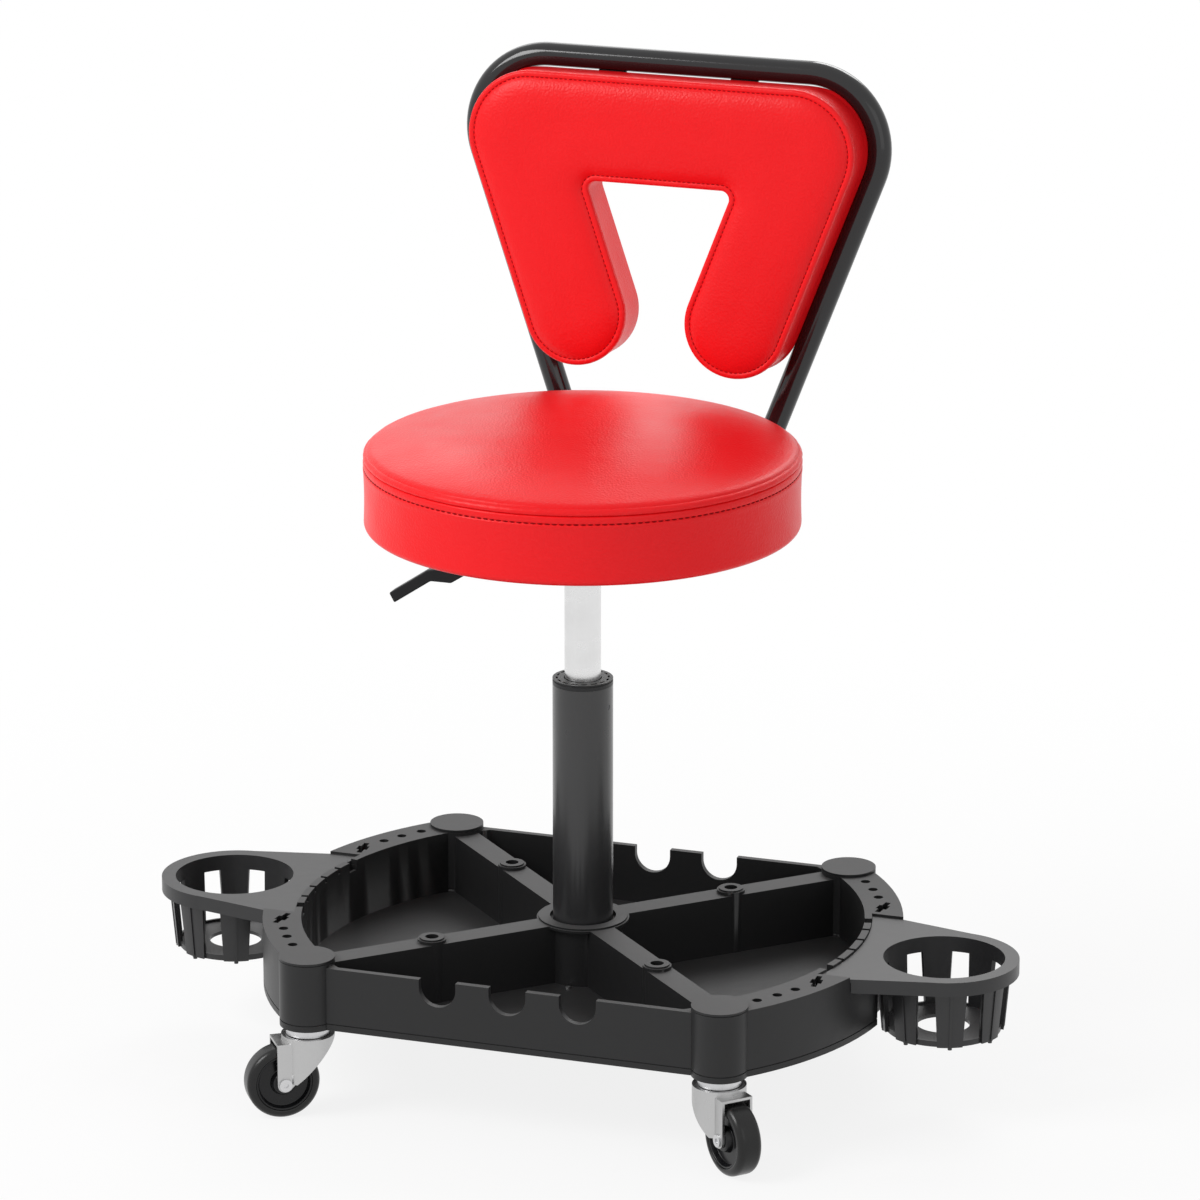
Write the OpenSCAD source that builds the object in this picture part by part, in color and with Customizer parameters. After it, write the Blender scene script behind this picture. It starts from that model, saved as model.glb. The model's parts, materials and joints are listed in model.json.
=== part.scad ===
// Rolling workshop seat: a round padded seat and a padded backrest in a bent tube frame,
// on a gas lift column that stands in a moulded tool tray with swivel casters and cup holders.
// Lengths are in millimetres. The origin is on the floor, under the column.
// +X points to the right cup holder, +Y to the backrest and +Z up.

/* [Casters] */
// Radius of the caster wheels
wheel_r = 30.5; // [28:0.5:33]
// Width of the caster tyres
wheel_w = 21.4; // [19:0.2:23]
// Distance between the swivel axis and the wheel axle
caster_trail = 22.5; // [20:0.5:24]
// Thickness of the pressed steel forks
fork_t = 2.2; // [1.8:0.1:2.5]
// Radius of the round swivel head of the forks
fork_head_r = 22; // [20.5:0.5:23]
// Radius of the caster axles
axle_r = 4; // [3:0.25:4.5]
// Radius of the caster stems
stem_r = 5.5; // [5:0.25:6.5]
// Length of the caster stems above the swivel cup
stem_h = 38; // [30:1:42]
// Distance of each swivel axis inside the tray's outer radius
caster_inset = 16; // [12:1:20]

/* [Tray] */
// Radius of the round sides of the tray
tray_r = 266; // [262:1:270]
// Distance between the outer faces of the straight walls, as a share of the tray's width
tray_depth_share = 0.703; // [0.695:0.001:0.715]
// Height of the straight walls
wall_h = 53.5; // [48:0.5:60]
// Thickness of the straight walls
wall_t = 5.5; // [4.5:0.25:5.75]
// Thickness of the moulded skins
skin_t = 3; // [2.9:0.1:3.5]
// Width of the box section rims at the sides
rim_w = 32; // [30:0.5:34]
// Height of the rims above the straight walls
rim_rise = 3; // [2:0.25:5]
// Radius of the corner posts
post_r = 23; // [21.5:0.5:25]
// Width of the diagonal arms
arm_w = 22; // [20:0.5:24]
// Distance between the column axis and the sockets in the arms
boss_pitch_r = 138; // [120:1:160]
// Radius of the sockets in the arms
boss_r = 11.8; // [11.6:0.1:12.5]
// Radius of the holes in the sockets
boss_hole_r = 5.5; // [4:0.25:6]
// Radius of the notches in the straight walls
notch_r = 15.75; // [12:0.25:18]
// Distance between the notches
notch_pitch = 60; // [50:1:64]
// Radius of the round holes in the rims
rim_hole_r = 4; // [2.5:0.25:4.5]

/* [Cup holders] */
// Distance of each cup holder's axis outside the tray's outer radius
cup_reach = 46; // [42:1:52]
// Radius of the cup holder openings
cup_r = 49.75; // [40:0.25:51]
// Outer radius of the cup holder rings
cup_ring_r = 61.5; // [58:0.5:64]
// Height of the outer band of the ring
cup_band_h = 12; // [9:0.5:16]
// Depth of the baskets below the top of the ring
cup_depth = 60.5; // [50:0.5:70]
// Radius of the basket floor inside
cup_floor_r = 45.5; // [36:0.25:47]

/* [Column] */
// Radius of the outer column tube
column_r = 25; // [24:0.25:26]
// Wall of the outer column tube
column_wall = 2; // [1.5:0.1:2.5]
// Length of the outer column tube
column_len = 260; // [250:1:275]
// Radius of the polished gas cylinder
cylinder_r = 15; // [14:0.25:16]
// Wall of the gas cylinder
cylinder_wall = 2; // [1.5:0.1:2.2]
// Length of the gas cylinder
cylinder_len = 259; // [250:1:262]
// Radius of the piston rod
rod_r = 5; // [4:0.25:6]

/* [Seat] */
// Height of the underside of the seat cushion above the floor
seat_z = 470; // [465:1:490]
// Radius of the seat cushion
seat_r = 178.5; // [170:0.5:190]
// Height of the upright side of the cushion, up to its seam
seat_side_h = 58; // [45:0.5:70]
// Height of the crown above the seam
seat_crown_h = 24; // [16:0.5:34]
// Width of the cushion's rim outside the plywood board
board_inset = 14.5; // [12:0.5:24]
// Thickness of the plywood board in the seat
seat_board_t = 12; // [9:0.5:18]
// Length of the release lever, from its pivot to the end of its grip
lever_reach = 135; // [128:1:145]

/* [Backrest] */
// Radius of the backrest tube
tube_r = 10; // [9:0.25:11]
// Wall of the backrest tube
tube_wall = 1.5; // [1.2:0.1:2]
// Height above the cushion's underside at which the frame's half width and depth are given
back_lift = 130; // [120:1:150]
// Distance between the column axis and the tube frame at that height
back_y = 230.4; // [226:0.2:240]
// Half the width of the tube frame at that height, to the tube's centre
back_half_w = 129.2; // [126:0.2:133]
// Length of the frame above that height, along the frame
back_rise = 203.4; // [200:0.2:215]
// Backward lean of the frame, in degrees
back_tilt = 4.7; // [2:0.1:8]
// Slope of the frame's and the pad's sides from upright, in degrees
side_slope = 20.2; // [18.5:0.1:21.5]
// Bend radius of the frame's upper corners
corner_bend_r = 62.5; // [56:0.5:70]
// Thickness of the backrest pad at its edge
pad_t = 46; // [38:0.5:54]
// Half the width of the padded band
pad_half = 44.5; // [40:0.25:47]

/* [Hidden] */

// Clearances and the overrun of cuts
run_gap = 0.05;      // between a turning or sliding pair
seat_gap = 0.1;      // between a piece and its fixed seat
soft_gap = 0.3;      // between a soft piece and its neighbours
cut = 1;             // overrun of a cut past a face
fine = 96;           // facets of large rounds
coarse = 48;         // facets of small rounds

// Colours
black_plastic = [0.13, 0.13, 0.14];
black_paint = [0.07, 0.07, 0.08];
dark_steel = [0.2, 0.2, 0.21];
bright_steel = [0.75, 0.76, 0.78];
zinc = [0.62, 0.63, 0.65];
brass_tone = [0.72, 0.6, 0.3];
red_vinyl = [0.85, 0.06, 0.06];
plywood = [0.72, 0.56, 0.36];
wheel_black = [0.1, 0.1, 0.1];

// Caster stack, from the floor up
wheel_top_gap = 2.3;                       // wheel to hood
head_rise = 4;                             // head above the hood
race_ball_r = 2;                           // swivel balls
race_ball_count = 14;
cup_top_t = 3.6;                           // top of the fixed swivel cup
swivel_cup_r = 18;
swivel_cup_wall = 1.8;
swivel_cup_lift = 0.6;                     // cup's edge above the head
kingpin_r = 4;
kingpin_head_r = 7;
kingpin_head_t = 3;
fork_side_gap = 1;                         // tyre to fork leg
fork_foot_r = 6.5;                         // round end of a fork leg
foot_steps = 16;
axle_head_r = 5.2;
axle_head_t = 1.6;
axle_socket_r = 2.2;
axle_socket_d = 1.2;
hub_side_gap = 0.5;                        // wheel hub to fork leg
hub_boss_r = 9.5;
core_share = 0.77;                         // core radius as a share of the wheel's
web_share = 0.52;                          // web width as a share of the tyre's
tread_share = 0.26;                        // edge round as a share of the tyre's width
core_r = wheel_r * core_share;
tread_round = wheel_w * tread_share;
tyre_lip_share = 0.93;                     // side face of the tyre, as a share of its width
hood_z0 = 2 * wheel_r + wheel_top_gap;
hood_z1 = hood_z0 + fork_t;
head_z1 = hood_z1 + head_rise;
head_z0 = head_z1 - fork_t;
race_z = head_z1 + race_ball_r + run_gap;
race_pitch_r = swivel_cup_r - swivel_cup_wall - race_ball_r - seat_gap;
cup_roof_z = race_z + race_ball_r + run_gap;
post_z0 = cup_roof_z + cup_top_t;
fork_inner_y = wheel_w / 2 + fork_side_gap;
fork_outer_y = fork_inner_y + fork_t;
caster_pitch_r = tray_r - caster_inset;
tray_depth = 2 * tray_r * tray_depth_share;
post_xy = caster_pitch_r / sqrt(2);
CORNERS = [[-1, -1], [1, -1], [1, 1], [-1, 1]];
TURNS = [215, -42, 120, 75];               // where each caster trails at rest, in degrees

// Tray levels and places
foot_band_h = 5;
foot_groove_h = 1;
foot_groove_d = 0.8;
tray_z0 = post_z0;
tray_floor_z = tray_z0 + skin_t;
wall_top_z = tray_z0 + wall_h;
rim_top_z = wall_top_z + rim_rise;
rim_in_r = tray_r - rim_w;
disc_lift = 2.5;                           // top discs of the posts above the rims
disc_t = 1.8;
disc_groove_d = 1.2;
disc_top_z = rim_top_z + disc_lift;
hub_r = 33;
hub_foot_r = 45;
hub_flange_r = 38.5;
hub_flange_t = 3.5;
hub_flange_step = 1.5;
hub_top_z = wall_top_z + 1.5;
hub_mouth_gap = 2.5;                       // dark ring round the column
hub_mouth_d = 4;
boss_rise = 4;
boss_hole_d = 30;
boss_lip_r = boss_r - 1.6;
boss_lip_h = 1.4;
notch_drop = 22;                           // depth of the notches below the wall's top
post_core_r = 12.5;
socket_r = 9;
socket_h = stem_h + 4;
hole_ring_r = tray_r - rim_w / 2;
HOLE_ANGLES = [27.8, 32.3, 37];
slot_angle = 22;
slot_len = 25;
slot_end_w = 4.6;
slot_mid_w = 9.5;
slot_mid_len = 9;
slot_slant = 27;
rim_notch_angle = 14.2;
rim_notch_w = 10;
rim_notch_d = 9;

// Cup holder levels and places
plate_t = 3;
plate_drop = 2;                            // plate below the rims' tops
plate_half_w = 76;
cup_x = tray_r + cup_reach;
plate_corner_in = 14;                      // plate's corners inside the tray's outer radius
plate_corner_x = tray_r - plate_corner_in;
plate_bite = 0.4;                          // plate's edges into the ring
plate_steps = 24;
strip_w = 6;                               // strip of rim inside the plate
strip_gap_w = 4;
STRIP_GAPS = [-15, -9, -3, 3, 9, 15];
plate_z1 = rim_top_z - plate_drop;
plate_z0 = plate_z1 - plate_t;
plate_in_r = rim_in_r + strip_w + soft_gap;
cup_skirt_t = 2.5;
basket_t = 2;
rib_t = 2.2;
rib_count = 8;
rib_top_w = 24;
rib_foot_w = 18;
spine_w = 2;
spine_t = 1;
spine_out = 1.5 * spine_t;
cup_relief_r = cup_r + basket_t + rib_t + spine_out + soft_gap;
cup_floor_t = 3;
cup_floor_hole_r = 22;
foot_ring_h = 5;
window_lip = 1;                            // wall between the windows and the band
rib_shoulder = 0.5;                        // step from the basket's wall to each rib
nub_r = 1.8;
hook_w = 18;
hook_t = 2.4;
hook_d = 9;
hook_barb = 1.2;
hook_y = 44;
hook_gap = 0.4;
hook_wall = 5.4;
basket_z0 = plate_z1 - cup_depth;
cup_floor_z = basket_z0 + cup_floor_t;
cup_band_z0 = plate_z1 - cup_band_h;

// Column levels
sleeve_wall = 3.5;
sleeve_foot_t = 3;
sleeve_foot_r = 42;
sleeve_h = 48;
screw_pitch_r = 38;
screw_r = 2;
screw_head_r = 3.8;
screw_head_t = 2.4;
screw_count = 4;
screw_depth = 4.5;
column_z0 = tray_z0 - sleeve_foot_t;
column_z1 = column_z0 + column_len;
column_bore_r = column_r - column_wall;
column_floor_z0 = column_z0 + 4;
column_floor_t = 4;
bearing_r = 14;
washer_t = 1.5;
thrust_ball_r = 1.5;
thrust_ball_count = 12;
thrust_pitch_r = 10;
cage_t = 1.4;
collar_r = 8;
collar_h = 4;
clip_r = 8.5;
clip_t = 1.4;
clip_groove_d = 1;
rod_tail = 5.5;                            // rod below the clip's groove
washer_lower_z = column_floor_z0 + column_floor_t;
thrust_z = washer_lower_z + washer_t + thrust_ball_r + run_gap;
washer_upper_z = thrust_z + thrust_ball_r + run_gap;
collar_z = washer_upper_z + washer_t;
clip_z = column_floor_z0 - clip_t - seat_gap;
rod_z0 = clip_z - rod_tail + clip_t;
cap_t = 5;
cap_skirt_h = 8;
cap_bore_gap = 0.6;
cap_slot_count = 16;
cap_slot_r = 21.4;
cap_slot_w = 1.6;
cap_slot_len = 5;
cap_slot_d = 1.5;
cap_groove_d = 0.7;
cap_groove_h = 0.9;
bush_len = 96;
grub_r = 2;
grub_drop = 17;                            // grub screws below the column's top
GRUB_ANGLES = [-13, 167];
cap_z1 = column_z1 + cap_t;
bush_z1 = column_z1 - cap_skirt_h - seat_gap;
bush_z0 = bush_z1 - bush_len;

// Seat drive levels
plate_steel_t = 3.5;
drive_z1 = seat_z;                         // top of the seat plate, against the board
drive_z0 = drive_z1 - plate_steel_t;
cylinder_drop = 21;                        // cylinder's top below the board
cylinder_z1 = seat_z - cylinder_drop;
cylinder_z0 = cylinder_z1 - cylinder_len;
cylinder_bore_r = cylinder_r - cylinder_wall;
guide_h = 14;
guide_lift = 2;
valve_h = 22;
pin_r = 3;
pin_bore_d = 18;
pin_proud = 6.5;
pin_z1 = cylinder_z1 + pin_proud;
pin_len = 18.5;
piston_h = 14;
piston_lift = 118;                         // piston above the cylinder's foot
piston_z0 = cylinder_z0 + piston_lift;
rod_thread_h = 6;
rod_z1 = piston_z0 + piston_h + rod_thread_h;
socket_wall = 4.5;
cone_socket_h = 42.5;
cone_socket_z0 = drive_z0 - cone_socket_h;
slot_side_w = 13;
slot_side_z0 = cylinder_z1 + 2.5;
seat_board_r = seat_r - board_inset;
seat_plate_w = 124;
seat_plate_d = 150;
plate_rib_h = 5;
seat_bolt_in_x = 12;                       // seat bolts inside the plate's edges
seat_bolt_in_y = 13;
seat_bolt_x = seat_plate_w / 2 - seat_bolt_in_x;
seat_bolt_y = seat_plate_d / 2 - seat_bolt_in_y;
bolt_r = 3;
bolt_head_r = 5.6;
bolt_head_t = 4;
tee_r = 4.6;
tee_flange_r = 9;
tee_flange_t = 1.2;
tee_h = 10;

// Cushion section: lower edge, drawn-in side, seam bead and crown
seat_edge_r = 5;
seat_draw = 0.5;                           // inward sag of the upright side
seam_bead = 0.3;
seam_h = 1.6;
shoulder_in_share = 0.059;
shoulder_h_share = 0.412;
crown_cone_share = 0.25;                   // cone in the crown's section, the rest is a bowl

// Release lever
lever_t = 5;
lever_w = 10;
lever_pivot_x = -28;
lever_pin_r = 1.25;
lever_ear_t = 3;
lever_ear_half = 8;
lever_inner_x = 4;
lever_knee_x = -62;
lever_heel_x = -113;
lever_bend_x = -131;
lever_drop = 60;                           // level part of the grip below the board
lever_low_z = seat_z - lever_drop;
lever_slope = 34;
grip_t = 9;
grip_w = 13;
grip_tip_t = 8;
grip_root = 14;                            // grip over the arm, along X
lever_mid_z = pin_z1 + run_gap + lever_t / 2;
lever_tip_x = lever_pivot_x - lever_reach;
grip_end_x = lever_heel_x + grip_root;
lever_heel_z = lever_low_z + grip_t / 2;
lever_fall = (lever_mid_z - lever_heel_z) / (lever_knee_x - lever_heel_x);

// Backrest levels
back_z = seat_z + back_lift;
leg_run_over = 22;                         // tube in front of the front leg bolts
foot_bend_r = 42;
leg_bolt_in = 21.55;                       // rear leg bolts inside the board's edge
leg_bolt_share = 0.44;                     // place of the front ones between the axis and the rear ones
leg_z = seat_z - tube_r - seat_gap;
bend_steps = 9;                            // straight pieces in each bend of the tube
tube_sides = 24;
plug_t = 2;
plug_stub = 12;
tab_w = 24;
tab_t = 3;
tab_root = 6;                              // tab against the curved side of the tube
tab_u = 58;
tab_over = 46;                             // tab behind the pad
side_tab_v = 36;
side_tab_reach = 34;
tab_screw_r = 2.5;
tab_screw_head_r = 4.6;
tab_screw_head_t = 2.6;
tab_screw_len = 8;
tab_screw_back = 9;                        // screw from the tab's end
pad_lap = 1.8;                             // pad's widest outline over the tube, seen from the front
pad_w0 = 2.8;                              // pad's back in front of the tube's centre plane
pad_foot_v = -51;                          // lowest point of the pad, along the frame
pad_fillet_r = 7;
pad_crown = 3.5;
pad_end_steps = 10;
pad_corner_steps = 7;                      // also in the notch's corners
pad_recess_rim = 6.3;
pad_recess_d = 8.3;
back_board_t = 8;
cos_p = cos(side_slope);
pad_in = tube_r - pad_lap;                 // pad's widest outline inside the tube's centreline
pad_half_w = back_half_w - pad_in / cos_p;
pad_top_v = back_rise - pad_in;
pad_corner_r = corner_bend_r - pad_in;
pad_corner_v = pad_top_v - pad_corner_r;
pad_end_v = pad_foot_v + pad_half;
tab_w1 = pad_w0 - soft_gap;                // front of the tabs

// Half width at a height v along the frame, on a line parallel to the pad's side and inside it by d
function pad_u(v, d) = pad_half_w + v * tan(side_slope) - d / cos_p;

// Vector helpers
function unit(v) = v / norm(v);
function mix(a, b, t) = a + (b - a) * t;

// A slab of the 2D children between two levels
module slab(z0, z1) {
    translate([0, 0, z0])
        linear_extrude(height = z1 - z0)
            children();
}

// A solid round of radius r between two levels
module round_z(r, z0, z1, facets = coarse) {
    translate([0, 0, z0])
        cylinder(r = r, h = z1 - z0, $fn = facets);
}

// A ring between two radii and two levels
module ring_z(r_in, r_out, z0, z1, facets = coarse) {
    difference() {
        round_z(r_out, z0, z1, facets);
        round_z(r_in, z0 - cut, z1 + cut, facets);
    }
}

module at_posts() {
    for (c = CORNERS)
        translate([c.x * post_xy, c.y * post_xy])
            children();
}

module at_bosses() {
    boss_xy = boss_pitch_r / sqrt(2);
    for (c = CORNERS)
        translate([c.x * boss_xy, c.y * boss_xy])
            children();
}

// Repeats children in all four quadrants
module quadrants() {
    for (c = CORNERS)
        mirror([c.x < 0 ? 1 : 0, 0, 0])
            mirror([0, c.y < 0 ? 1 : 0, 0])
                children();
}

// TRAY

module tray_plan(shrink) {
    intersection() {
        circle(r = tray_r - shrink, $fn = fine);
        square([2 * tray_r, tray_depth - 2 * shrink], center = true);
    }
}

// The floor area between the arms and the outer walls, grown outwards by a distance
module pocket_field(grow) {
    difference() {
        intersection() {
            circle(r = rim_in_r + grow, $fn = fine);
            square([2 * tray_r, tray_depth - 2 * wall_t + 2 * grow], center = true);
        }
        for (a = [45, 135])
            rotate(a)
                square([2 * caster_pitch_r, arm_w - 2 * grow], center = true);
    }
}

// Everything inside and between the two raised rims
module lowered_field() {
    circle(r = rim_in_r, $fn = fine);
    for (s = [-1, 1])
        polygon([[0, 0], [-2 * tray_r, s * 2 * tray_r], [2 * tray_r, s * 2 * tray_r]]);
}

// Seat of a cup holder plate in the rims
module plate_recess(gap) {
    for (s = [-1, 1])
        intersection() {
            difference() {
                circle(r = tray_r + rim_w, $fn = fine);
                circle(r = plate_in_r - gap, $fn = fine);
            }
            translate([s * tray_r, 0])
                square([tray_r, 2 * (plate_half_w + gap)], center = true);
        }
}

// Open space under the rims and arms
module underside_field() {
    difference() {
        tray_plan(skin_t);
        pocket_field(skin_t);
        cup_relief(skin_t);
    }
}

// Hollow in each rim's outer wall that takes the cup holder's basket
module cup_relief(grow) {
    for (s = [-1, 1])
        translate([s * cup_x, 0])
            circle(r = cup_relief_r + grow, $fn = fine);
}

module cross_slot() {
    square([slot_len, slot_end_w], center = true);
    square([slot_mid_len, slot_mid_w], center = true);
}

// Round-bottomed notches in both straight walls
module wall_notches() {
    notch_z = wall_top_z - notch_drop + notch_r;
    for (s = [-1, 1], i = [-1, 0, 1])
        translate([i * notch_pitch, s * (tray_depth - wall_t) / 2, notch_z]) {
            rotate([90, 0, 0])
                cylinder(r = notch_r, h = wall_t + 2 * cut, center = true, $fn = coarse);
            translate([-notch_r, -wall_t / 2 - cut, 0])
                cube([2 * notch_r, wall_t + 2 * cut, notch_drop]);
        }
}

module tray_walls() {
    groove_z = tray_z0 + foot_band_h;
    difference() {
        slab(tray_z0, rim_top_z)
            tray_plan(0);
        slab(wall_top_z, rim_top_z + cut)
            lowered_field();
        slab(groove_z, groove_z + foot_groove_h)
            difference() {
                square(4 * tray_r, center = true);
                tray_plan(foot_groove_d);
            }
        slab(tray_floor_z, wall_top_z + cut)
            pocket_field(0);
        slab(tray_z0 - cut, plate_z0 - skin_t)
            underside_field();
        slab(plate_z0 - skin_t - cut, wall_top_z - skin_t)
            difference() {
                underside_field();
                plate_recess(skin_t);
            }
        slab(plate_z0, rim_top_z + cut)
            plate_recess(soft_gap);
        slab(tray_z0 - cut, rim_top_z + cut)
            cup_relief(0);
        wall_notches();
        rim_openings();
        hook_slots();
    }
}

module tray_posts() {
    groove_z = tray_z0 + foot_band_h;
    at_posts()
        difference() {
            round_z(post_r, tray_z0, disc_top_z);
            ring_z(post_r - disc_groove_d, post_r + cut, rim_top_z, disc_top_z - disc_t);
            ring_z(post_r - foot_groove_d, post_r + cut, groove_z, groove_z + foot_groove_h);
        }
}

module tray_hub() {
    round_z(hub_foot_r, tray_z0, tray_floor_z);
    round_z(hub_r, tray_z0, hub_top_z);
    round_z(hub_flange_r, hub_top_z - hub_flange_t, hub_top_z - hub_flange_step);
    round_z(hub_flange_r - hub_flange_step, hub_top_z - hub_flange_t, hub_top_z);
    at_bosses() {
        round_z(boss_r, tray_z0, wall_top_z + boss_rise - boss_lip_h);
        round_z(boss_lip_r, wall_top_z, wall_top_z + boss_rise);
    }
}

module rim_openings() {
    quadrants() {
        for (a = HOLE_ANGLES)
            rotate(a)
                translate([hole_ring_r, 0, wall_top_z - 2 * skin_t])
                    cylinder(r = rim_hole_r, h = rim_rise + 2 * skin_t + cut, $fn = coarse);
        rotate(slot_angle)
            translate([hole_ring_r, 0, wall_top_z - 2 * skin_t])
                linear_extrude(height = rim_rise + 2 * skin_t + cut)
                    rotate(90 - slot_slant)
                        cross_slot();
        rotate(rim_notch_angle)
            translate([rim_in_r - cut, -rim_notch_w / 2, rim_top_z - rim_notch_d])
                cube([strip_w + cut, rim_notch_w, rim_notch_d + cut]);
    }
    for (s = [0, 180], a = STRIP_GAPS)
        rotate(s + a)
            translate([rim_in_r - cut, -strip_gap_w / 2, plate_z0])
                cube([strip_w + 2 * cut, strip_gap_w, rim_top_z - plate_z0 + cut]);
}

module hook_slots() {
    for (s = [-1, 1], t = [-1, 1])
        translate([s * hole_ring_r, t * hook_y, plate_z0 - skin_t])
            cube([hook_t + 2 * hook_gap, hook_w + 2 * hook_gap, 4 * skin_t], center = true);
}

module tray() {
    color(black_plastic)
        difference() {
            union() {
                tray_walls();
                tray_posts();
                tray_hub();
            }
            at_bosses()
                round_z(boss_hole_r, wall_top_z + boss_rise - boss_hole_d, wall_top_z + boss_rise + cut);
            round_z(column_r + sleeve_wall + seat_gap, tray_z0 - cut, tray_z0 + sleeve_h, fine);
            round_z(column_r + seat_gap, tray_z0 + sleeve_h - cut, hub_top_z + cut, fine);
            round_z(column_r + hub_mouth_gap, hub_top_z - hub_mouth_d, hub_top_z + cut, fine);
            at_sleeve_screws()
                round_z(screw_r, tray_z0 - cut, tray_z0 + screw_depth + seat_gap);
            at_posts() {
                round_z(socket_r + seat_gap, tray_z0 - cut, post_z0 + socket_h + seat_gap);
                ring_z(post_core_r, post_r - skin_t, tray_z0 - cut, wall_top_z - skin_t);
            }
        }
}

// COLUMN

module at_sleeve_screws() {
    for (i = [0 : screw_count - 1])
        rotate(360 * i / screw_count)
            translate([screw_pitch_r, 0, 0])
                children();
}

module hub_sleeve() {
    color(dark_steel)
        difference() {
            union() {
                round_z(column_r + sleeve_wall, tray_z0 - sleeve_foot_t,
                        tray_z0 + sleeve_h - seat_gap, fine);
                round_z(sleeve_foot_r, tray_z0 - sleeve_foot_t, tray_z0, fine);
            }
            round_z(column_r + run_gap, column_z0 - cut, tray_z0 + sleeve_h + cut, fine);
            at_sleeve_screws()
                round_z(screw_r + seat_gap, tray_z0 - sleeve_foot_t - cut, tray_z0 + cut);
        }
}

module sleeve_screws() {
    color(zinc)
        at_sleeve_screws() {
            round_z(screw_r, tray_z0 - sleeve_foot_t, tray_z0 + screw_depth);
            round_z(screw_head_r, tray_z0 - sleeve_foot_t - screw_head_t, tray_z0 - sleeve_foot_t);
        }
}

module column_tube() {
    color(black_paint)
        difference() {
            ring_z(column_bore_r, column_r, column_z0, column_z1, fine);
            grub_bores(grub_r + run_gap);
        }
}

module grub_bores(r) {
    for (a = GRUB_ANGLES)
        rotate(a)
            translate([column_bore_r - column_wall, 0, column_z1 - grub_drop])
                rotate([0, 90, 0])
                    cylinder(r = r, h = 2 * column_wall + cut, $fn = coarse);
}

module bush_screws() {
    color(dark_steel)
        for (a = GRUB_ANGLES)
            rotate(a)
                translate([column_bore_r - column_wall + seat_gap, 0, column_z1 - grub_drop])
                    rotate([0, 90, 0])
                        cylinder(r = grub_r, h = 2 * column_wall - 3 * seat_gap, $fn = coarse);
}

module column_floor() {
    color(dark_steel)
        ring_z(rod_r + run_gap, column_bore_r, column_floor_z0, column_floor_z0 + column_floor_t);
}

module column_bush() {
    color(wheel_black)
        difference() {
            ring_z(cylinder_r + run_gap, column_bore_r - seat_gap, bush_z0, bush_z1, fine);
            grub_bores(grub_r + run_gap);
        }
}

module column_cap() {
    color(black_plastic)
        difference() {
            union() {
                ring_z(cylinder_r + cap_bore_gap, column_r, column_z1, cap_z1, fine);
                ring_z(column_bore_r - column_wall, column_bore_r - seat_gap,
                       column_z1 - cap_skirt_h, column_z1);
            }
            for (i = [0 : cap_slot_count - 1])
                rotate(360 * i / cap_slot_count)
                    translate([cap_slot_r, 0, cap_z1])
                        cube([cap_slot_w, cap_slot_len, 2 * cap_slot_d], center = true);
            ring_z(column_r - cap_groove_d, column_r + cut,
                   cap_z1 - 2 * cap_groove_h, cap_z1 - cap_groove_h, fine);
        }
}

module bearing_washer_lower() {
    color(bright_steel)
        ring_z(rod_r + run_gap, bearing_r, washer_lower_z, washer_lower_z + washer_t);
}

module bearing_washer_upper() {
    color(bright_steel)
        ring_z(rod_r + run_gap, bearing_r, washer_upper_z, washer_upper_z + washer_t);
}

module at_thrust_balls() {
    for (i = [0 : thrust_ball_count - 1])
        rotate(360 * i / thrust_ball_count)
            translate([thrust_pitch_r, 0, thrust_z])
                children();
}

module bearing_cage() {
    color(brass_tone)
        difference() {
            ring_z(rod_r + seat_gap, bearing_r, thrust_z - cage_t / 2, thrust_z + cage_t / 2);
            at_thrust_balls()
                cylinder(r = thrust_ball_r + seat_gap, h = 2 * cage_t, center = true, $fn = coarse);
        }
}

module bearing_balls() {
    color(bright_steel)
        at_thrust_balls()
            sphere(r = thrust_ball_r, $fn = coarse);
}

module piston_rod() {
    color(bright_steel)
        difference() {
            union() {
                round_z(rod_r, rod_z0, rod_z1);
                round_z(collar_r, collar_z, collar_z + collar_h);
            }
            ring_z(rod_r - clip_groove_d, rod_r + cut, clip_z - run_gap, clip_z + clip_t + run_gap);
        }
}

module rod_clip() {
    color(dark_steel)
        difference() {
            ring_z(rod_r - clip_groove_d + run_gap, clip_r, clip_z, clip_z + clip_t);
            translate([0, 0, clip_z + clip_t / 2])
                translate([clip_r / 2, 0, 0])
                    cube([clip_r + cut, rod_r, 2 * clip_t], center = true);
        }
}

module piston() {
    color(dark_steel)
        difference() {
            round_z(cylinder_bore_r - run_gap, piston_z0, piston_z0 + piston_h);
            round_z(rod_r + run_gap, piston_z0 - cut, piston_z0 + piston_h + cut);
            ring_z(cylinder_bore_r - cylinder_wall, cylinder_bore_r + cut,
                   piston_z0 + piston_h / 2 - cylinder_wall / 2,
                   piston_z0 + piston_h / 2 + cylinder_wall / 2);
        }
}

module gas_cylinder() {
    color(bright_steel)
        ring_z(cylinder_bore_r, cylinder_r, cylinder_z0, cylinder_z1, fine);
}

module rod_guide() {
    color(brass_tone)
        ring_z(rod_r + run_gap, cylinder_bore_r - run_gap,
               cylinder_z0 + guide_lift, cylinder_z0 + guide_lift + guide_h);
}

module valve_block() {
    color(zinc)
        difference() {
            round_z(cylinder_bore_r - run_gap, cylinder_z1 - valve_h, cylinder_z1);
            round_z(pin_r + run_gap, cylinder_z1 - pin_bore_d, cylinder_z1 + cut);
        }
}

module release_pin() {
    color(bright_steel)
        round_z(pin_r, pin_z1 - pin_len, pin_z1);
}

// SEAT

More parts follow.
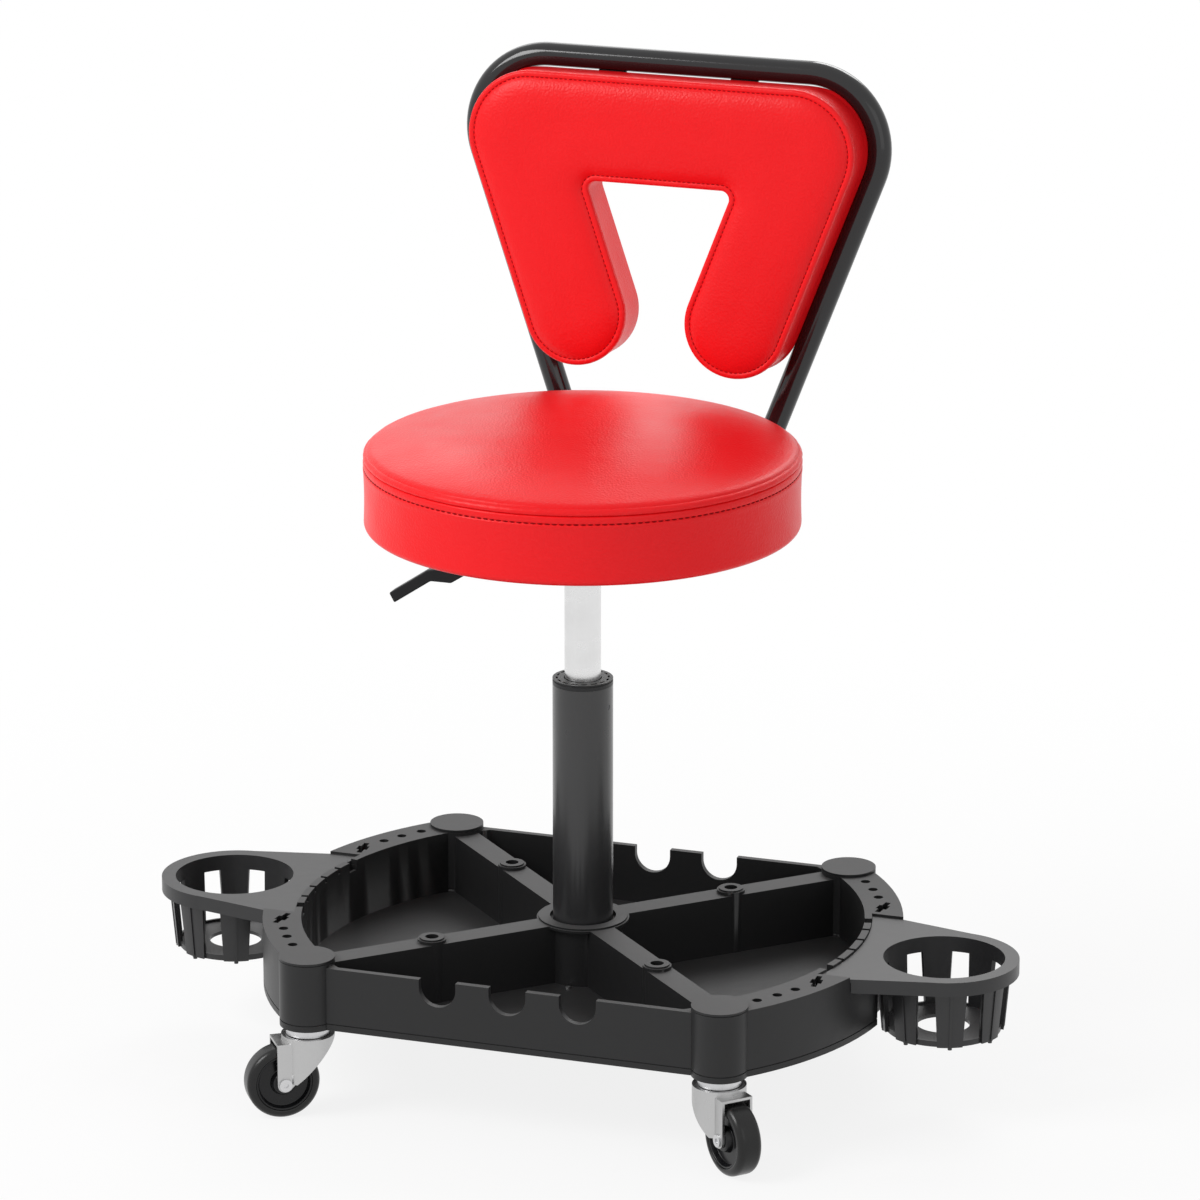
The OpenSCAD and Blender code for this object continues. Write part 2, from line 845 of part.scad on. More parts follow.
module cylinder_socket() {
    color(black_paint)
        difference() {
            ring_z(cylinder_r + run_gap, cylinder_r + socket_wall, cone_socket_z0, drive_z0, fine);
            translate([-cylinder_r - socket_wall - cut, -slot_side_w / 2, slot_side_z0])
                cube([cylinder_r + socket_wall + cut, slot_side_w, drive_z0 - slot_side_z0 + cut]);
        }
}

module at_seat_bolts() {
    for (c = CORNERS)
        translate([c.x * seat_bolt_x, c.y * seat_bolt_y, 0])
            children();
}

module at_leg_bolts() {
    for (s = [-1, 1], y = leg_bolts_y())
        translate([s * leg_x(), y, 0])
            children();
}

module seat_plate() {
    color(black_paint)
        difference() {
            union() {
                translate([-seat_plate_w / 2, -seat_plate_d / 2, drive_z0])
                    cube([seat_plate_w, seat_plate_d, plate_steel_t]);
                for (s = [-1, 1])
                    translate([0, s * (seat_plate_d / 2 - plate_steel_t / 2), drive_z0 - plate_rib_h / 2])
                        cube([seat_plate_w, plate_steel_t, plate_rib_h + cut], center = true);
                for (s = [-1, 1])
                    translate([lever_pivot_x - lever_ear_half,
                               s * (lever_w / 2 + soft_gap + lever_ear_t / 2) - lever_ear_t / 2,
                               lever_mid_z - lever_ear_half])
                        cube([2 * lever_ear_half - plate_steel_t, lever_ear_t,
                              drive_z0 - lever_mid_z + lever_ear_half]);
            }
            at_seat_bolts()
                round_z(bolt_r + seat_gap, drive_z0 - cut, drive_z1 + cut);
            translate([lever_pivot_x, 0, lever_mid_z])
                rotate([90, 0, 0])
                    cylinder(r = lever_pin_r + run_gap, h = seat_plate_w / 2, center = true, $fn = coarse);
        }
}

// Bolt pointing up from a level, with its head below
module bolt_up(z_seat, length) {
    round_z(bolt_r, z_seat, z_seat + length);
    translate([0, 0, z_seat - bolt_head_t])
        difference() {
            cylinder(r = bolt_head_r, h = bolt_head_t, $fn = 6);
            translate([0, 0, -cut])
                cylinder(r = bolt_r / 2, h = cut + bolt_head_t / 4, $fn = coarse);
        }
}

module tee_nut_bore() {
    round_z(tee_r + run_gap, seat_z - cut, seat_z + seat_board_t + cut);
}

module seat_bolts() {
    color(zinc)
        at_seat_bolts()
            bolt_up(drive_z0, plate_steel_t + seat_board_t - 2 * tee_flange_t);
}

module tee_nuts() {
    color(zinc) {
        at_seat_bolts()
            tee_nut();
        at_leg_bolts()
            tee_nut();
    }
}

module tee_nut() {
    z1 = seat_z + seat_board_t - tee_flange_t;
    ring_z(bolt_r + run_gap, tee_r, z1 - tee_h, z1);
    ring_z(bolt_r + run_gap, tee_flange_r, z1, seat_z + seat_board_t);
}

module seat_board() {
    color(plywood)
        difference() {
            round_z(seat_board_r, seat_z, seat_z + seat_board_t, fine);
            at_seat_bolts() {
                tee_nut_bore();
                round_z(tee_flange_r + run_gap, seat_z + seat_board_t - tee_flange_t,
                        seat_z + seat_board_t + cut);
            }
            at_leg_bolts() {
                tee_nut_bore();
                round_z(tee_flange_r + run_gap, seat_z + seat_board_t - tee_flange_t,
                        seat_z + seat_board_t + cut);
            }
        }
}

module seat_cushion() {
    seam_z = seat_z + seat_side_h;
    shoulder_r = seat_r * (1 - shoulder_in_share);
    shoulder_z = seam_z + seat_crown_h * shoulder_h_share;
    seat_top_z = seam_z + seat_crown_h;
    recess_r = seat_board_r + soft_gap;
    recess_z = seat_z + seat_board_t + soft_gap;
    color(red_vinyl)
        rotate_extrude($fn = fine)
            polygon(concat(
                [[0, recess_z], [recess_r, recess_z], [recess_r, seat_z]],
                [for (a = [-90 : 15 : 0])
                    [seat_r - seat_edge_r + seat_edge_r * cos(a),
                     seat_z + seat_edge_r + seat_edge_r * sin(a)]],
                [for (t = [0.15 : 0.14 : 0.86])
                    [seat_r - seat_draw * sin(180 * t), mix(seat_z + seat_edge_r, seam_z, t)]],
                [[seat_r, seam_z - 2 * seam_h], [seat_r + seam_bead, seam_z - seam_h],
                 [seat_r + seam_bead, seam_z], [seat_r - seam_bead, seam_z + seam_h / 2]],
                [for (a = [15 : 15 : 75])
                    [mix(shoulder_r, seat_r - seam_bead, cos(a)), mix(seam_z + seam_h, shoulder_z, sin(a))]],
                [for (t = [1 : -0.1 : 0])
                    [shoulder_r * t, mix(seat_top_z, shoulder_z, t * t * (1 - crown_cone_share * (1 - t)))]]
            ));
}

// LEVER

// Outline of a strip of half thickness h along points of the XZ plane
function strip_side(p, h) = [
    for (i = [0 : len(p) - 1])
        let (a = unit(p[min(i + 1, len(p) - 1)] - p[min(i, len(p) - 2)]),
             b = unit(p[max(i, 1)] - p[max(i - 1, 0)]),
             m = unit(a + b))
            p[i] + [-m.y, m.x] * h / (m * a)
];
function reversed(p) = [for (i = [len(p) - 1 : -1 : 0]) p[i]];

// Side outline, given in X and Z, as a plate of a width across Y
module across_y(w) {
    rotate([90, 0, 0])
        translate([0, 0, -w / 2])
            linear_extrude(height = w)
                children();
}

function lever_path() = [
    [lever_inner_x, lever_mid_z], [lever_knee_x, lever_mid_z], [lever_heel_x, lever_heel_z],
    [lever_bend_x, lever_heel_z]
];

module lever_arm() {
    path = lever_path();
    h = lever_t / 2;
    color(black_paint)
        difference() {
            across_y(lever_w)
                polygon(concat(strip_side(path, h), reversed(strip_side(path, -h))));
            translate([lever_pivot_x, 0, lever_mid_z])
                rotate([90, 0, 0])
                    cylinder(r = lever_pin_r + run_gap, h = 2 * lever_w, center = true, $fn = coarse);
        }
}

module lever_pin() {
    color(zinc)
        translate([lever_pivot_x, 0, lever_mid_z])
            rotate([90, 0, 0])
                cylinder(r = lever_pin_r, h = lever_w + 2 * lever_ear_t + 4 * soft_gap, center = true,
                         $fn = coarse);
}

module lever_grip() {
    path = lever_path();
    h = lever_t / 2 + run_gap;
    top = lever_low_z + grip_t;
    tip_drop = (lever_bend_x - lever_tip_x) * tan(lever_slope);
    root_z = lever_heel_z + grip_root * lever_fall;
    color(black_plastic)
        difference() {
            across_y(grip_w)
                polygon([
                    [lever_tip_x, lever_low_z - tip_drop],
                    [lever_bend_x, lever_low_z],
                    [lever_heel_x, lever_low_z],
                    [grip_end_x + grip_t / 2, root_z - grip_t / 2],
                    [grip_end_x - grip_t / 2, root_z + grip_t / 2],
                    [lever_bend_x + grip_t / 2, top + grip_t / 4],
                    [lever_bend_x - grip_t / 3, top],
                    [lever_tip_x - grip_t / 2, lever_low_z - tip_drop + grip_tip_t]
                ]);
            across_y(lever_w + 2 * run_gap)
                polygon(concat(strip_side(path, h), reversed(strip_side(path, -h))));
        }
}

// BACKREST

function leg_x() = back_half_w + (leg_z - back_z) / cos(back_tilt) * tan(side_slope);
function leg_y() = back_y + (leg_z - back_z) * tan(back_tilt);

// Places of the front and rear bolts along the tube's level legs
function leg_bolts_y() = let (rear = sqrt(pow(seat_board_r - leg_bolt_in, 2) - pow(leg_x(), 2)))
    [leg_bolt_share * rear, rear];
leg_run_y = leg_bolts_y()[0] - leg_run_over;   // front ends of the tube under the seat
function on_back(u, v, w) = [u, back_y + v * sin(back_tilt) - w * cos(back_tilt),
                             back_z + v * cos(back_tilt) + w * sin(back_tilt)];

// Puts children into the frame's plane: X across, Y up along it and Z out of its front
module in_back() {
    translate([0, back_y, back_z])
        rotate([90 - back_tilt, 0, 0])
            children();
}

// Centreline corners of the tube, from the left foot to the right foot
corner_u = back_half_w + back_rise * tan(side_slope);
TUBE = [
    [-leg_x(), leg_run_y, leg_z], [-leg_x(), leg_y(), leg_z], on_back(-corner_u, back_rise, 0),
    on_back(corner_u, back_rise, 0), [leg_x(), leg_y(), leg_z], [leg_x(), leg_run_y, leg_z]
];
BEND_R = [0, foot_bend_r, corner_bend_r, corner_bend_r, foot_bend_r, 0];

// Angle and tangent length of the bend at corner i
function bend_angle(i) = acos(unit(TUBE[i] - TUBE[i - 1]) * unit(TUBE[i + 1] - TUBE[i]));
function bend_len(i) = BEND_R[i] == 0 ? 0 : BEND_R[i] * tan(bend_angle(i) / 2);

// Points of the centreline: both ends and an arc of bend_steps at each corner
function bend_points(i) = let (
    t1 = unit(TUBE[i] - TUBE[i - 1]),
    t2 = unit(TUBE[i + 1] - TUBE[i]),
    n = unit(t2 - t1 * (t1 * t2)),
    o = TUBE[i] - t1 * bend_len(i) + n * BEND_R[i]
) [for (k = [0 : bend_steps]) let (a = bend_angle(i) * k / bend_steps)
    o + BEND_R[i] * (t1 * sin(a) - n * cos(a))];
function tube_path() = concat([TUBE[0]], [for (i = [1 : 4]) each bend_points(i)], [TUBE[5]]);

// Direction of a path at each point, and a side vector carried along it without twist
function path_dirs(p) = [for (i = [0 : len(p) - 1]) unit(p[min(i + 1, len(p) - 1)] - p[max(i - 1, 0)])];
function carried(d, i, n) = let (m = unit(n - d[i] * (n * d[i])))
    i == len(d) - 1 ? [m] : concat([m], carried(d, i + 1, m));

// Ring points along a path, at a radius from it
function tube_rings(p, r) = let (d = path_dirs(p), s = carried(d, 0, [1, 0, 0])) [
    for (i = [0 : len(p) - 1], k = [0 : tube_sides - 1])
        let (a = 360 * (k + 0.5) / tube_sides)
            p[i] + r * (s[i] * cos(a) + cross(d[i], s[i]) * sin(a))
];

// Hollow tube along the path: the outer rings, then the inner rings
module backrest_tube() {
    p = tube_path();
    m = len(p) * tube_sides;
    last = (len(p) - 1) * tube_sides;
    function next(k) = (k + 1) % tube_sides;
    polyhedron(points = concat(tube_rings(p, tube_r), tube_rings(p, tube_r - tube_wall)), faces = concat(
        [for (i = [0 : len(p) - 2], k = [0 : tube_sides - 1])
            each [
                [i * tube_sides + k, (i + 1) * tube_sides + k, (i + 1) * tube_sides + next(k)],
                [i * tube_sides + k, (i + 1) * tube_sides + next(k), i * tube_sides + next(k)],
                [m + i * tube_sides + k, m + (i + 1) * tube_sides + next(k), m + (i + 1) * tube_sides + k],
                [m + i * tube_sides + k, m + i * tube_sides + next(k), m + (i + 1) * tube_sides + next(k)]
            ]],
        [for (k = [0 : tube_sides - 1])
            each [
                [k, next(k), m + next(k)], [k, m + next(k), m + k],
                [last + k, m + last + next(k), last + next(k)],
                [last + k, m + last + k, m + last + next(k)]
            ]]
    ), convexity = 8);
}

module backrest_frame() {
    color(black_paint)
        difference() {
            backrest_tube();
            at_leg_bolts()
                rotate(90)
                    round_z(bolt_r + seat_gap, leg_z - 2 * tube_r, leg_z + 2 * tube_r);
        }
}

module frame_bolts() {
    color(zinc)
        at_leg_bolts()
            bolt_up(leg_z - tube_r - seat_gap, 2 * tube_r + 2 * seat_gap + seat_board_t - 2 * tee_flange_t);
}

module tube_plugs() {
    color(wheel_black)
        for (s = [-1, 1])
            translate([s * leg_x(), leg_run_y, leg_z])
                rotate([90, 0, 0]) {
                    cylinder(r = tube_r, h = plug_t, $fn = coarse);
                    translate([0, 0, -plug_stub])
                        cylinder(r = (tube_r - tube_wall) * cos(180 / tube_sides) - run_gap, h = plug_stub,
                                 $fn = coarse);
                }
}

// Places of the four tabs that carry the pad, in the frame's plane, with the way each reaches
function tab_spots() = [
    [-tab_u, back_rise - tube_r, -90], [tab_u, back_rise - tube_r, -90],
    [back_half_w + side_tab_v * tan(side_slope) - tube_r / cos(side_slope), side_tab_v,
     180 - side_slope],
    [-back_half_w - side_tab_v * tan(side_slope) + tube_r / cos(side_slope), side_tab_v,
     side_slope]
];
function tab_reach(i) = i < 2 ? tab_over - pad_lap : side_tab_reach;

module at_tab(i) {
    translate([tab_spots()[i].x, tab_spots()[i].y, 0])
        rotate(tab_spots()[i].z)
            children();
}

module pad_tabs() {
    color(black_paint)
        in_back()
            difference() {
                for (i = [0 : 3])
                    at_tab(i)
                        translate([-tab_root, -tab_w / 2, tab_w1 - tab_t])
                            cube([tab_reach(i) + tab_root, tab_w, tab_t]);
                tube_space();
                at_tab_screws()
                    cylinder(r = tab_screw_r + seat_gap, h = 4 * tube_r, center = true, $fn = coarse);
            }
}

// The tube's own space, in the frame's plane
module tube_space() {
    translate([0, back_rise, 0])
        rotate([0, 90, 0])
            cylinder(r = tube_r, h = 2 * corner_u, center = true, $fn = coarse);
    for (s = [-1, 1])
        translate([s * back_half_w, 0, 0])
            rotate([-90, 0, -s * side_slope])
                cylinder(r = tube_r, h = 2 * back_rise, center = true, $fn = coarse);
}

module at_tab_screws() {
    for (i = [0 : 3])
        at_tab(i)
            translate([tab_reach(i) - tab_screw_back, 0, 0])
                children();
}

module pad_screws() {
    color(zinc)
        in_back()
            at_tab_screws() {
                round_z(tab_screw_r, tab_w1 - tab_t, tab_w1 + tab_screw_len);
                round_z(tab_screw_head_r, tab_w1 - tab_t - tab_screw_head_t, tab_w1 - tab_t);
            }
}

// Points of an arc about c, from angle a0 to a1 in n steps
function arc(c, r, a0, a1, n) = [for (k = [0 : n])
    let (a = mix(a0, a1, k / n))
        c + r * [cos(a), sin(a)]];

// Outline of the padded band, inset by d, counter-clockwise seen from the front
pad_end_u = pad_u(pad_end_v, pad_half);
pad_corner_u = pad_u(pad_corner_v, pad_corner_r);
pad_fillet_v = pad_top_v - 2 * pad_half - pad_fillet_r;
pad_fillet_u = pad_u(pad_fillet_v, 2 * pad_half + pad_fillet_r);
function pad_ring(d) = let (
    r = pad_half - d,
    c = pad_corner_r - d,
    f = pad_fillet_r + d,
    s = side_slope
) concat(
    arc([pad_end_u, pad_end_v], r, 180 - s, 360 - s, pad_end_steps),
    arc([pad_corner_u, pad_corner_v], c, -s, 90, pad_corner_steps),
    arc([-pad_corner_u, pad_corner_v], c, 90, 180 + s, pad_corner_steps),
    arc([-pad_end_u, pad_end_v], r, 180 + s, 360 + s, pad_end_steps),
    arc([-pad_fillet_u, pad_fillet_v], f, 180 + s, 90, pad_corner_steps),
    arc([pad_fillet_u, pad_fillet_v], f, 90, -s, pad_corner_steps)
);

// Triangles that close such an outline: both rounded ends, both legs, both corners, the middle
function pad_cap() = let (
    e = pad_end_steps, c = pad_corner_steps,
    right = e + 1, left = right + c + 1, foot = left + c + 1, inner = foot + e + 1, outer = inner + c + 1
) concat(
    [for (k = [1 : e - 1]) [0, k, k + 1]],
    [[0, e, right], [0, right, outer + c]],
    [for (k = [0 : c - 1]) each [
        [right + k, right + k + 1, outer + c - k - 1], [right + k, outer + c - k - 1, outer + c - k],
        [left + k, left + k + 1, inner + c - k - 1], [left + k, inner + c - k - 1, inner + c - k]
    ]],
    [[right + c, left, inner + c], [right + c, inner + c, outer]],
    [[left + c, foot, foot + e], [left + c, foot + e, inner]],
    [for (k = [0 : e - 2]) [foot + e, foot + k, foot + k + 1]]
);

// Section of the pad as shares: inset of the half width and height of the thickness
PAD_SHARES = [
    [0.075, 0], [0.05, 0.03], [0.041, 0.1], [0.036, 0.3], [0.03, 0.5], [0.018, 0.75], [0.004, 0.92],
    [0, 0.955], [0.012, 0.985], [0.04, 1], [0.085, 1], [0.115, 0.99]
];
PAD_CROWN_SHARES = [[0.16, 0.22], [0.26, 0.55], [0.42, 0.82], [0.65, 0.96], [0.9, 1]];

module backrest_pad() {
    rings = concat(
        [[pad_recess_rim, pad_recess_d], [pad_recess_rim, 0]],
        [for (p = PAD_SHARES) [p.x * pad_half, p.y * pad_t]],
        [for (p = PAD_CROWN_SHARES) [p.x * pad_half, pad_t + p.y * pad_crown]]
    );
    count = len(pad_ring(0));
    points = [for (g = rings) for (p = pad_ring(g.x)) [p.x, p.y, pad_w0 + g.y]];
    last = (len(rings) - 1) * count;
    color(red_vinyl)
        in_back()
            polyhedron(points = points, faces = concat(
                pad_cap(),
                [for (g = [0 : len(rings) - 2]) for (k = [0 : count - 1])
                    [g * count + k, (g + 1) * count + k, (g + 1) * count + (k + 1) % count]],
                [for (g = [0 : len(rings) - 2]) for (k = [0 : count - 1])
                    [g * count + k, (g + 1) * count + (k + 1) % count, g * count + (k + 1) % count]],
                [for (f = pad_cap()) [last + f[0], last + f[2], last + f[1]]]
            ), convexity = 6);
}

module backrest_board() {
    color(plywood)
        in_back()
            difference() {
                slab(pad_w0, pad_w0 + back_board_t)
                    polygon(pad_ring(pad_recess_rim + soft_gap));
                at_tab_screws()
                    cylinder(r = tab_screw_r + run_gap, h = 6 * tube_r, center = true, $fn = coarse);
            }
}

// CUP HOLDERS

// Tangent from the plate's corner to the ring, ending a little inside it
function tangent_angle(p, r) = atan2(p.y, p.x) - acos(r / norm(p));

module cup_plate_outline() {
    corner = [plate_corner_x - cup_x, plate_half_w];
    a = tangent_angle(corner, cup_ring_r);
    r = cup_ring_r - plate_bite;
    touch = [cup_x + r * cos(a), r * sin(a)];
    arc_a = asin(plate_half_w / (rim_in_r + strip_w + soft_gap));
    polygon(concat(
        [touch, [plate_corner_x, plate_half_w]],
        arc([0, 0], plate_in_r, arc_a, -arc_a, plate_steps),
        [[plate_corner_x, -plate_half_w], [touch.x, -touch.y]]
    ));
}

// Trapezoid window between two ribs, seen from outside, between two levels and grown on both sides
module rib_window(z0, z1, grow) {
    gap_top = 2 * cup_r * sin(180 / rib_count) - rib_top_w;
    gap_foot = 2 * cup_floor_r * sin(180 / rib_count) - rib_foot_w;
    at0 = (z0 - basket_z0) / cup_depth;
    at1 = (z1 - basket_z0) / cup_depth;
    w0 = mix(gap_foot, gap_top, at0) / 2 + grow;
    w1 = mix(gap_foot, gap_top, at1) / 2 + grow;
    rotate([90, 0, 90])
        linear_extrude(height = 2 * cup_ring_r)
            polygon([[-w0, z0], [w0, z0], [w1, z1], [-w1, z1]]);
}

module at_windows() {
    for (i = [0 : rib_count - 1])
        rotate(360 * i / rib_count)
            children();
}

module at_ribs() {
    for (i = [0 : rib_count - 1])
        rotate(360 * (i + 0.5) / rib_count)
            children();
}

// Conical shell of the basket between two offsets from its inner wall
module basket_shell(in, out, z0, z1) {
    rotate_extrude($fn = fine)
        polygon([
            [cup_floor_r + in, z0], [cup_floor_r + out, z0],
            [cup_r + out, cup_band_z0], [cup_r + out, z1],
            [cup_r + in, z1], [cup_r + in, cup_band_z0]
        ]);
}

// Skirt of the plate and the ring, outside the tray's wall
module cup_skirt() {
    difference() {
        union() {
            slab(cup_band_z0, plate_z1)
                difference() {
                    cup_plate_outline();
                    narrowed()
                        cup_plate_outline();
                }
            translate([cup_x, 0, 0])
                ring_z(cup_ring_r - cup_skirt_t, cup_ring_r, cup_band_z0, plate_z1, fine);
        }
        round_z(tray_r + soft_gap, cup_band_z0 - cut, plate_z0, fine);
    }
}

module cup_basket() {
    difference() {
        basket_shell(0, basket_t, basket_z0, plate_z1);
        at_windows()
            rib_window(basket_z0 + foot_ring_h, cup_band_z0 - window_lip, 0);
    }
    difference() {
        basket_shell(basket_t / 2, basket_t + rib_t, basket_z0, plate_z0 + skin_t / 2);
        at_windows()
            rib_window(basket_z0 - cut, plate_z1 + cut, rib_shoulder);
    }
    ring_z(cup_floor_hole_r, cup_floor_r + basket_t / 2, basket_z0, cup_floor_z, fine);
    at_ribs() {
        lean = atan((cup_r - cup_floor_r) / (cup_band_z0 - basket_z0));
        translate([cup_floor_r + basket_t + rib_t - spine_t / 2, -spine_w / 2, basket_z0])
            rotate([0, lean, 0])
                cube([spine_out, spine_w, cup_band_z0 - basket_z0]);
        translate([cup_floor_r + basket_t + rib_t / 2, 0, basket_z0 - nub_r])
            cylinder(r = nub_r, h = 2 * nub_r, $fn = coarse);
    }
}

module cup_hooks() {
    for (t = [-1, 1]) {
        translate([hole_ring_r - hook_t / 2, t * hook_y - hook_w / 2, plate_z0 - hook_d])
            cube([hook_t, hook_w, hook_d + skin_t / 2]);
        translate([hole_ring_r, t * hook_y - hook_w / 2, plate_z0 - hook_d])
            cube([hook_t / 2 + hook_barb, hook_w, hook_d - hook_wall]);
    }
}

module cup_holder() {
    color(black_plastic) {
        difference() {
            union() {
                slab(plate_z0, plate_z1)
                    cup_plate_outline();
                cup_skirt();
                translate([cup_x, 0, 0])
                    round_z(cup_ring_r, plate_z0, plate_z1, fine);
            }
            translate([cup_x, 0, 0])
                round_z(cup_r + basket_t / 2, cup_band_z0 - cut, plate_z1 + cut, fine);
        }
        translate([cup_x, 0, 0])
            cup_basket();
        cup_hooks();
    }
}

// Narrows the plate's outline by the thickness of its skirt on both sides
module narrowed() {
    intersection() {
        translate([0, -cup_skirt_t])
            children();
        translate([0, cup_skirt_t])
            children();
    }
}

module cup_holder_left() {
    rotate(180)
        cup_holder();
}

module cup_holder_right() {
    cup_holder();
}

// CASTERS

module at_caster(i) {
    translate([CORNERS[i].x * post_xy, CORNERS[i].y * post_xy, 0])
        rotate(TURNS[i])
            children();
}

module caster_sockets() {
    color(zinc)
        at_posts()
            ring_z(stem_r + seat_gap, socket_r, post_z0, post_z0 + socket_h);
}

module caster_stems() {
    color(bright_steel)
        at_posts() {
            difference() {
                round_z(swivel_cup_r, head_z1 + swivel_cup_lift, post_z0);
                round_z(swivel_cup_r - swivel_cup_wall, head_z1, cup_roof_z);
            }
            round_z(stem_r, post_z0, post_z0 + stem_h);
            round_z(kingpin_r, head_z0 - kingpin_head_t, post_z0);
            round_z(kingpin_head_r, head_z0 - seat_gap - kingpin_head_t, head_z0 - seat_gap);
        }
}

module caster_balls() {
    color(bright_steel)
        at_posts()
            for (k = [0 : race_ball_count - 1])
                rotate(360 * k / race_ball_count)
                    translate([race_pitch_r, 0, race_z])
                        sphere(r = race_ball_r, $fn = coarse);
}

// Side outline of a fork leg: X from the swivel axis, Y up
function leg_outline() = let (
    front = caster_trail + fork_foot_r,
    back = [-fork_head_r, head_z1 - fork_t / 2],
    axle = [caster_trail, wheel_r],
    to_back = back - axle,
    a = atan2(to_back.y, to_back.x) + acos(fork_foot_r / norm(to_back))
) concat(
    [[front, head_z1]],
    arc(axle, fork_foot_r, 0, a - 360, foot_steps),
    [back, [-fork_head_r, head_z1]]
);

module leg_profile() {
    polygon(leg_outline());
}

module fork(i) {
    color(bright_steel)
        at_caster(i)
            difference() {
                union() {
                    round_z(fork_head_r, head_z0, head_z1, fine);
                    intersection() {
                        ring_z(fork_head_r - fork_t, fork_head_r, wheel_r, head_z1, fine);
                        across_y(2 * fork_head_r)
                            leg_profile();
                    }
                    for (s = [-1, 1])
                        intersection() {
                            translate([0, s * (fork_inner_y + fork_t / 2), 0])
                                across_y(fork_t)
                                    leg_profile();
                            translate([leg_start_x(), -fork_head_r, 0])
                                cube([2 * fork_head_r, 2 * fork_head_r, hood_z1]);
                        }
                    translate([fork_head_r / 2, -fork_outer_y, hood_z0])
                        cube([caster_trail + fork_foot_r - fork_head_r / 2, 2 * fork_outer_y, fork_t]);
                }
                translate([-2 * fork_head_r, -fork_inner_y, 0])
                    cube([4 * fork_head_r, 2 * fork_inner_y, hood_z0]);
                round_z(kingpin_r + run_gap, head_z0 - cut, head_z1 + cut);
                translate([caster_trail, 0, wheel_r])
                    rotate([90, 0, 0])
                        cylinder(r = axle_r + run_gap, h = 4 * fork_outer_y, center = true, $fn = coarse);
                round_z(fork_head_r - fork_t, hood_z0 - cut, head_z0);
            }
}

// Where a flat leg leaves the round head
function leg_start_x() = sqrt(pow(fork_head_r - fork_t / 2, 2) - pow(fork_outer_y, 2)) - fork_t;

module axle(i) {
    reach = fork_outer_y + seat_gap;
    color(bright_steel)
        at_caster(i)
            translate([caster_trail, 0, wheel_r])
                rotate([90, 0, 0])
                    difference() {
                        union() {
                            cylinder(r = axle_r, h = 2 * reach, center = true, $fn = coarse);
                            for (s = [-1, 1])
                                translate([0, 0, s * (reach + axle_head_t / 2)])
                                    cylinder(r = axle_head_r, h = axle_head_t, center = true, $fn = coarse);
                        }
                        for (s = [-1, 1])
                            translate([0, 0, s * (reach + axle_head_t)])
                                cylinder(r = axle_socket_r, h = 2 * axle_socket_d,
                                         center = true, $fn = coarse);
                    }
}

module wheel_turned(i) {
    at_caster(i)
        translate([caster_trail, 0, wheel_r])
            rotate([90, 0, 0])
                rotate_extrude($fn = fine)
                    children();
}

module wheel_core(i) {
    web = web_share * wheel_w / 2;
    hub = fork_inner_y - hub_side_gap;
    rim = tyre_lip_share * wheel_w / 2;
    color(wheel_black)
        wheel_turned(i)
            polygon([
                [axle_r + run_gap, -hub], [hub_boss_r, -hub], [hub_boss_r + fork_t, -web],
                [core_r - fork_t, -web], [core_r - fork_t / 2, -rim], [core_r, -rim],
                [core_r, rim], [core_r - fork_t / 2, rim], [core_r - fork_t, web],
                [hub_boss_r + fork_t, web], [hub_boss_r, hub], [axle_r + run_gap, hub]
            ]);
}

module tyre(i) {
    half = wheel_w / 2;
    color(wheel_black)
        wheel_turned(i)
            polygon(concat(
                [[core_r, -half * tyre_lip_share]],
                arc([wheel_r - tread_round, -half + tread_round], tread_round, -90, 0, 6),
                arc([wheel_r - tread_round, half - tread_round], tread_round, 0, 90, 6),
                [[core_r, half * tyre_lip_share]]
            ));
}

tray();
hub_sleeve();
sleeve_screws();
column_tube();
column_floor();
column_bush();
bush_screws();
column_cap();
bearing_washer_lower();
bearing_cage();
bearing_balls();
caster_sockets();
caster_stems();
caster_balls();
cup_holder_left();
cup_holder_right();
piston_rod();
piston();
bearing_washer_upper();
rod_clip();
gas_cylinder();
rod_guide();
valve_block();
release_pin();
cylinder_socket();
seat_plate();
seat_bolts();
tee_nuts();
seat_board();
seat_cushion();
lever_pin();
lever_arm();
lever_grip();
backrest_frame();
frame_bolts();
tube_plugs();
pad_tabs();
pad_screws();
backrest_board();
backrest_pad();
fork(0);  // fork_front_left
fork(1);  // fork_front_right
fork(2);  // fork_rear_right
fork(3);  // fork_rear_left
axle(0);  // axle_front_left
axle(1);  // axle_front_right
axle(2);  // axle_rear_right
axle(3);  // axle_rear_left
wheel_core(0);  // wheel_core_front_left
wheel_core(1);  // wheel_core_front_right
wheel_core(2);  // wheel_core_rear_right
wheel_core(3);  // wheel_core_rear_left
tyre(0);  // tyre_front_left
tyre(1);  // tyre_front_right
tyre(2);  // tyre_rear_right
tyre(3);  // tyre_rear_left
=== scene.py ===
"""Looks of a rolling workshop seat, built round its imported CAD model.

The seat has a round padded cushion, a padded backrest in one bent tube, a gas lift with a release
lever, and a black tool tray with two cup holders on four casters.

Sizes here are in millimetres, in the object's own frame: the origin lies on the floor under the
column, +X points to the right cup holder, +Y to the backrest and +Z up. Meshes are turned into
metres where they are made. The frame's plane carries the backrest: u runs across, v up along it
and w out of its front.
"""

import json
import logging
import math
from dataclasses import dataclass
from enum import Enum
from itertools import accumulate
from typing import ClassVar, Sequence

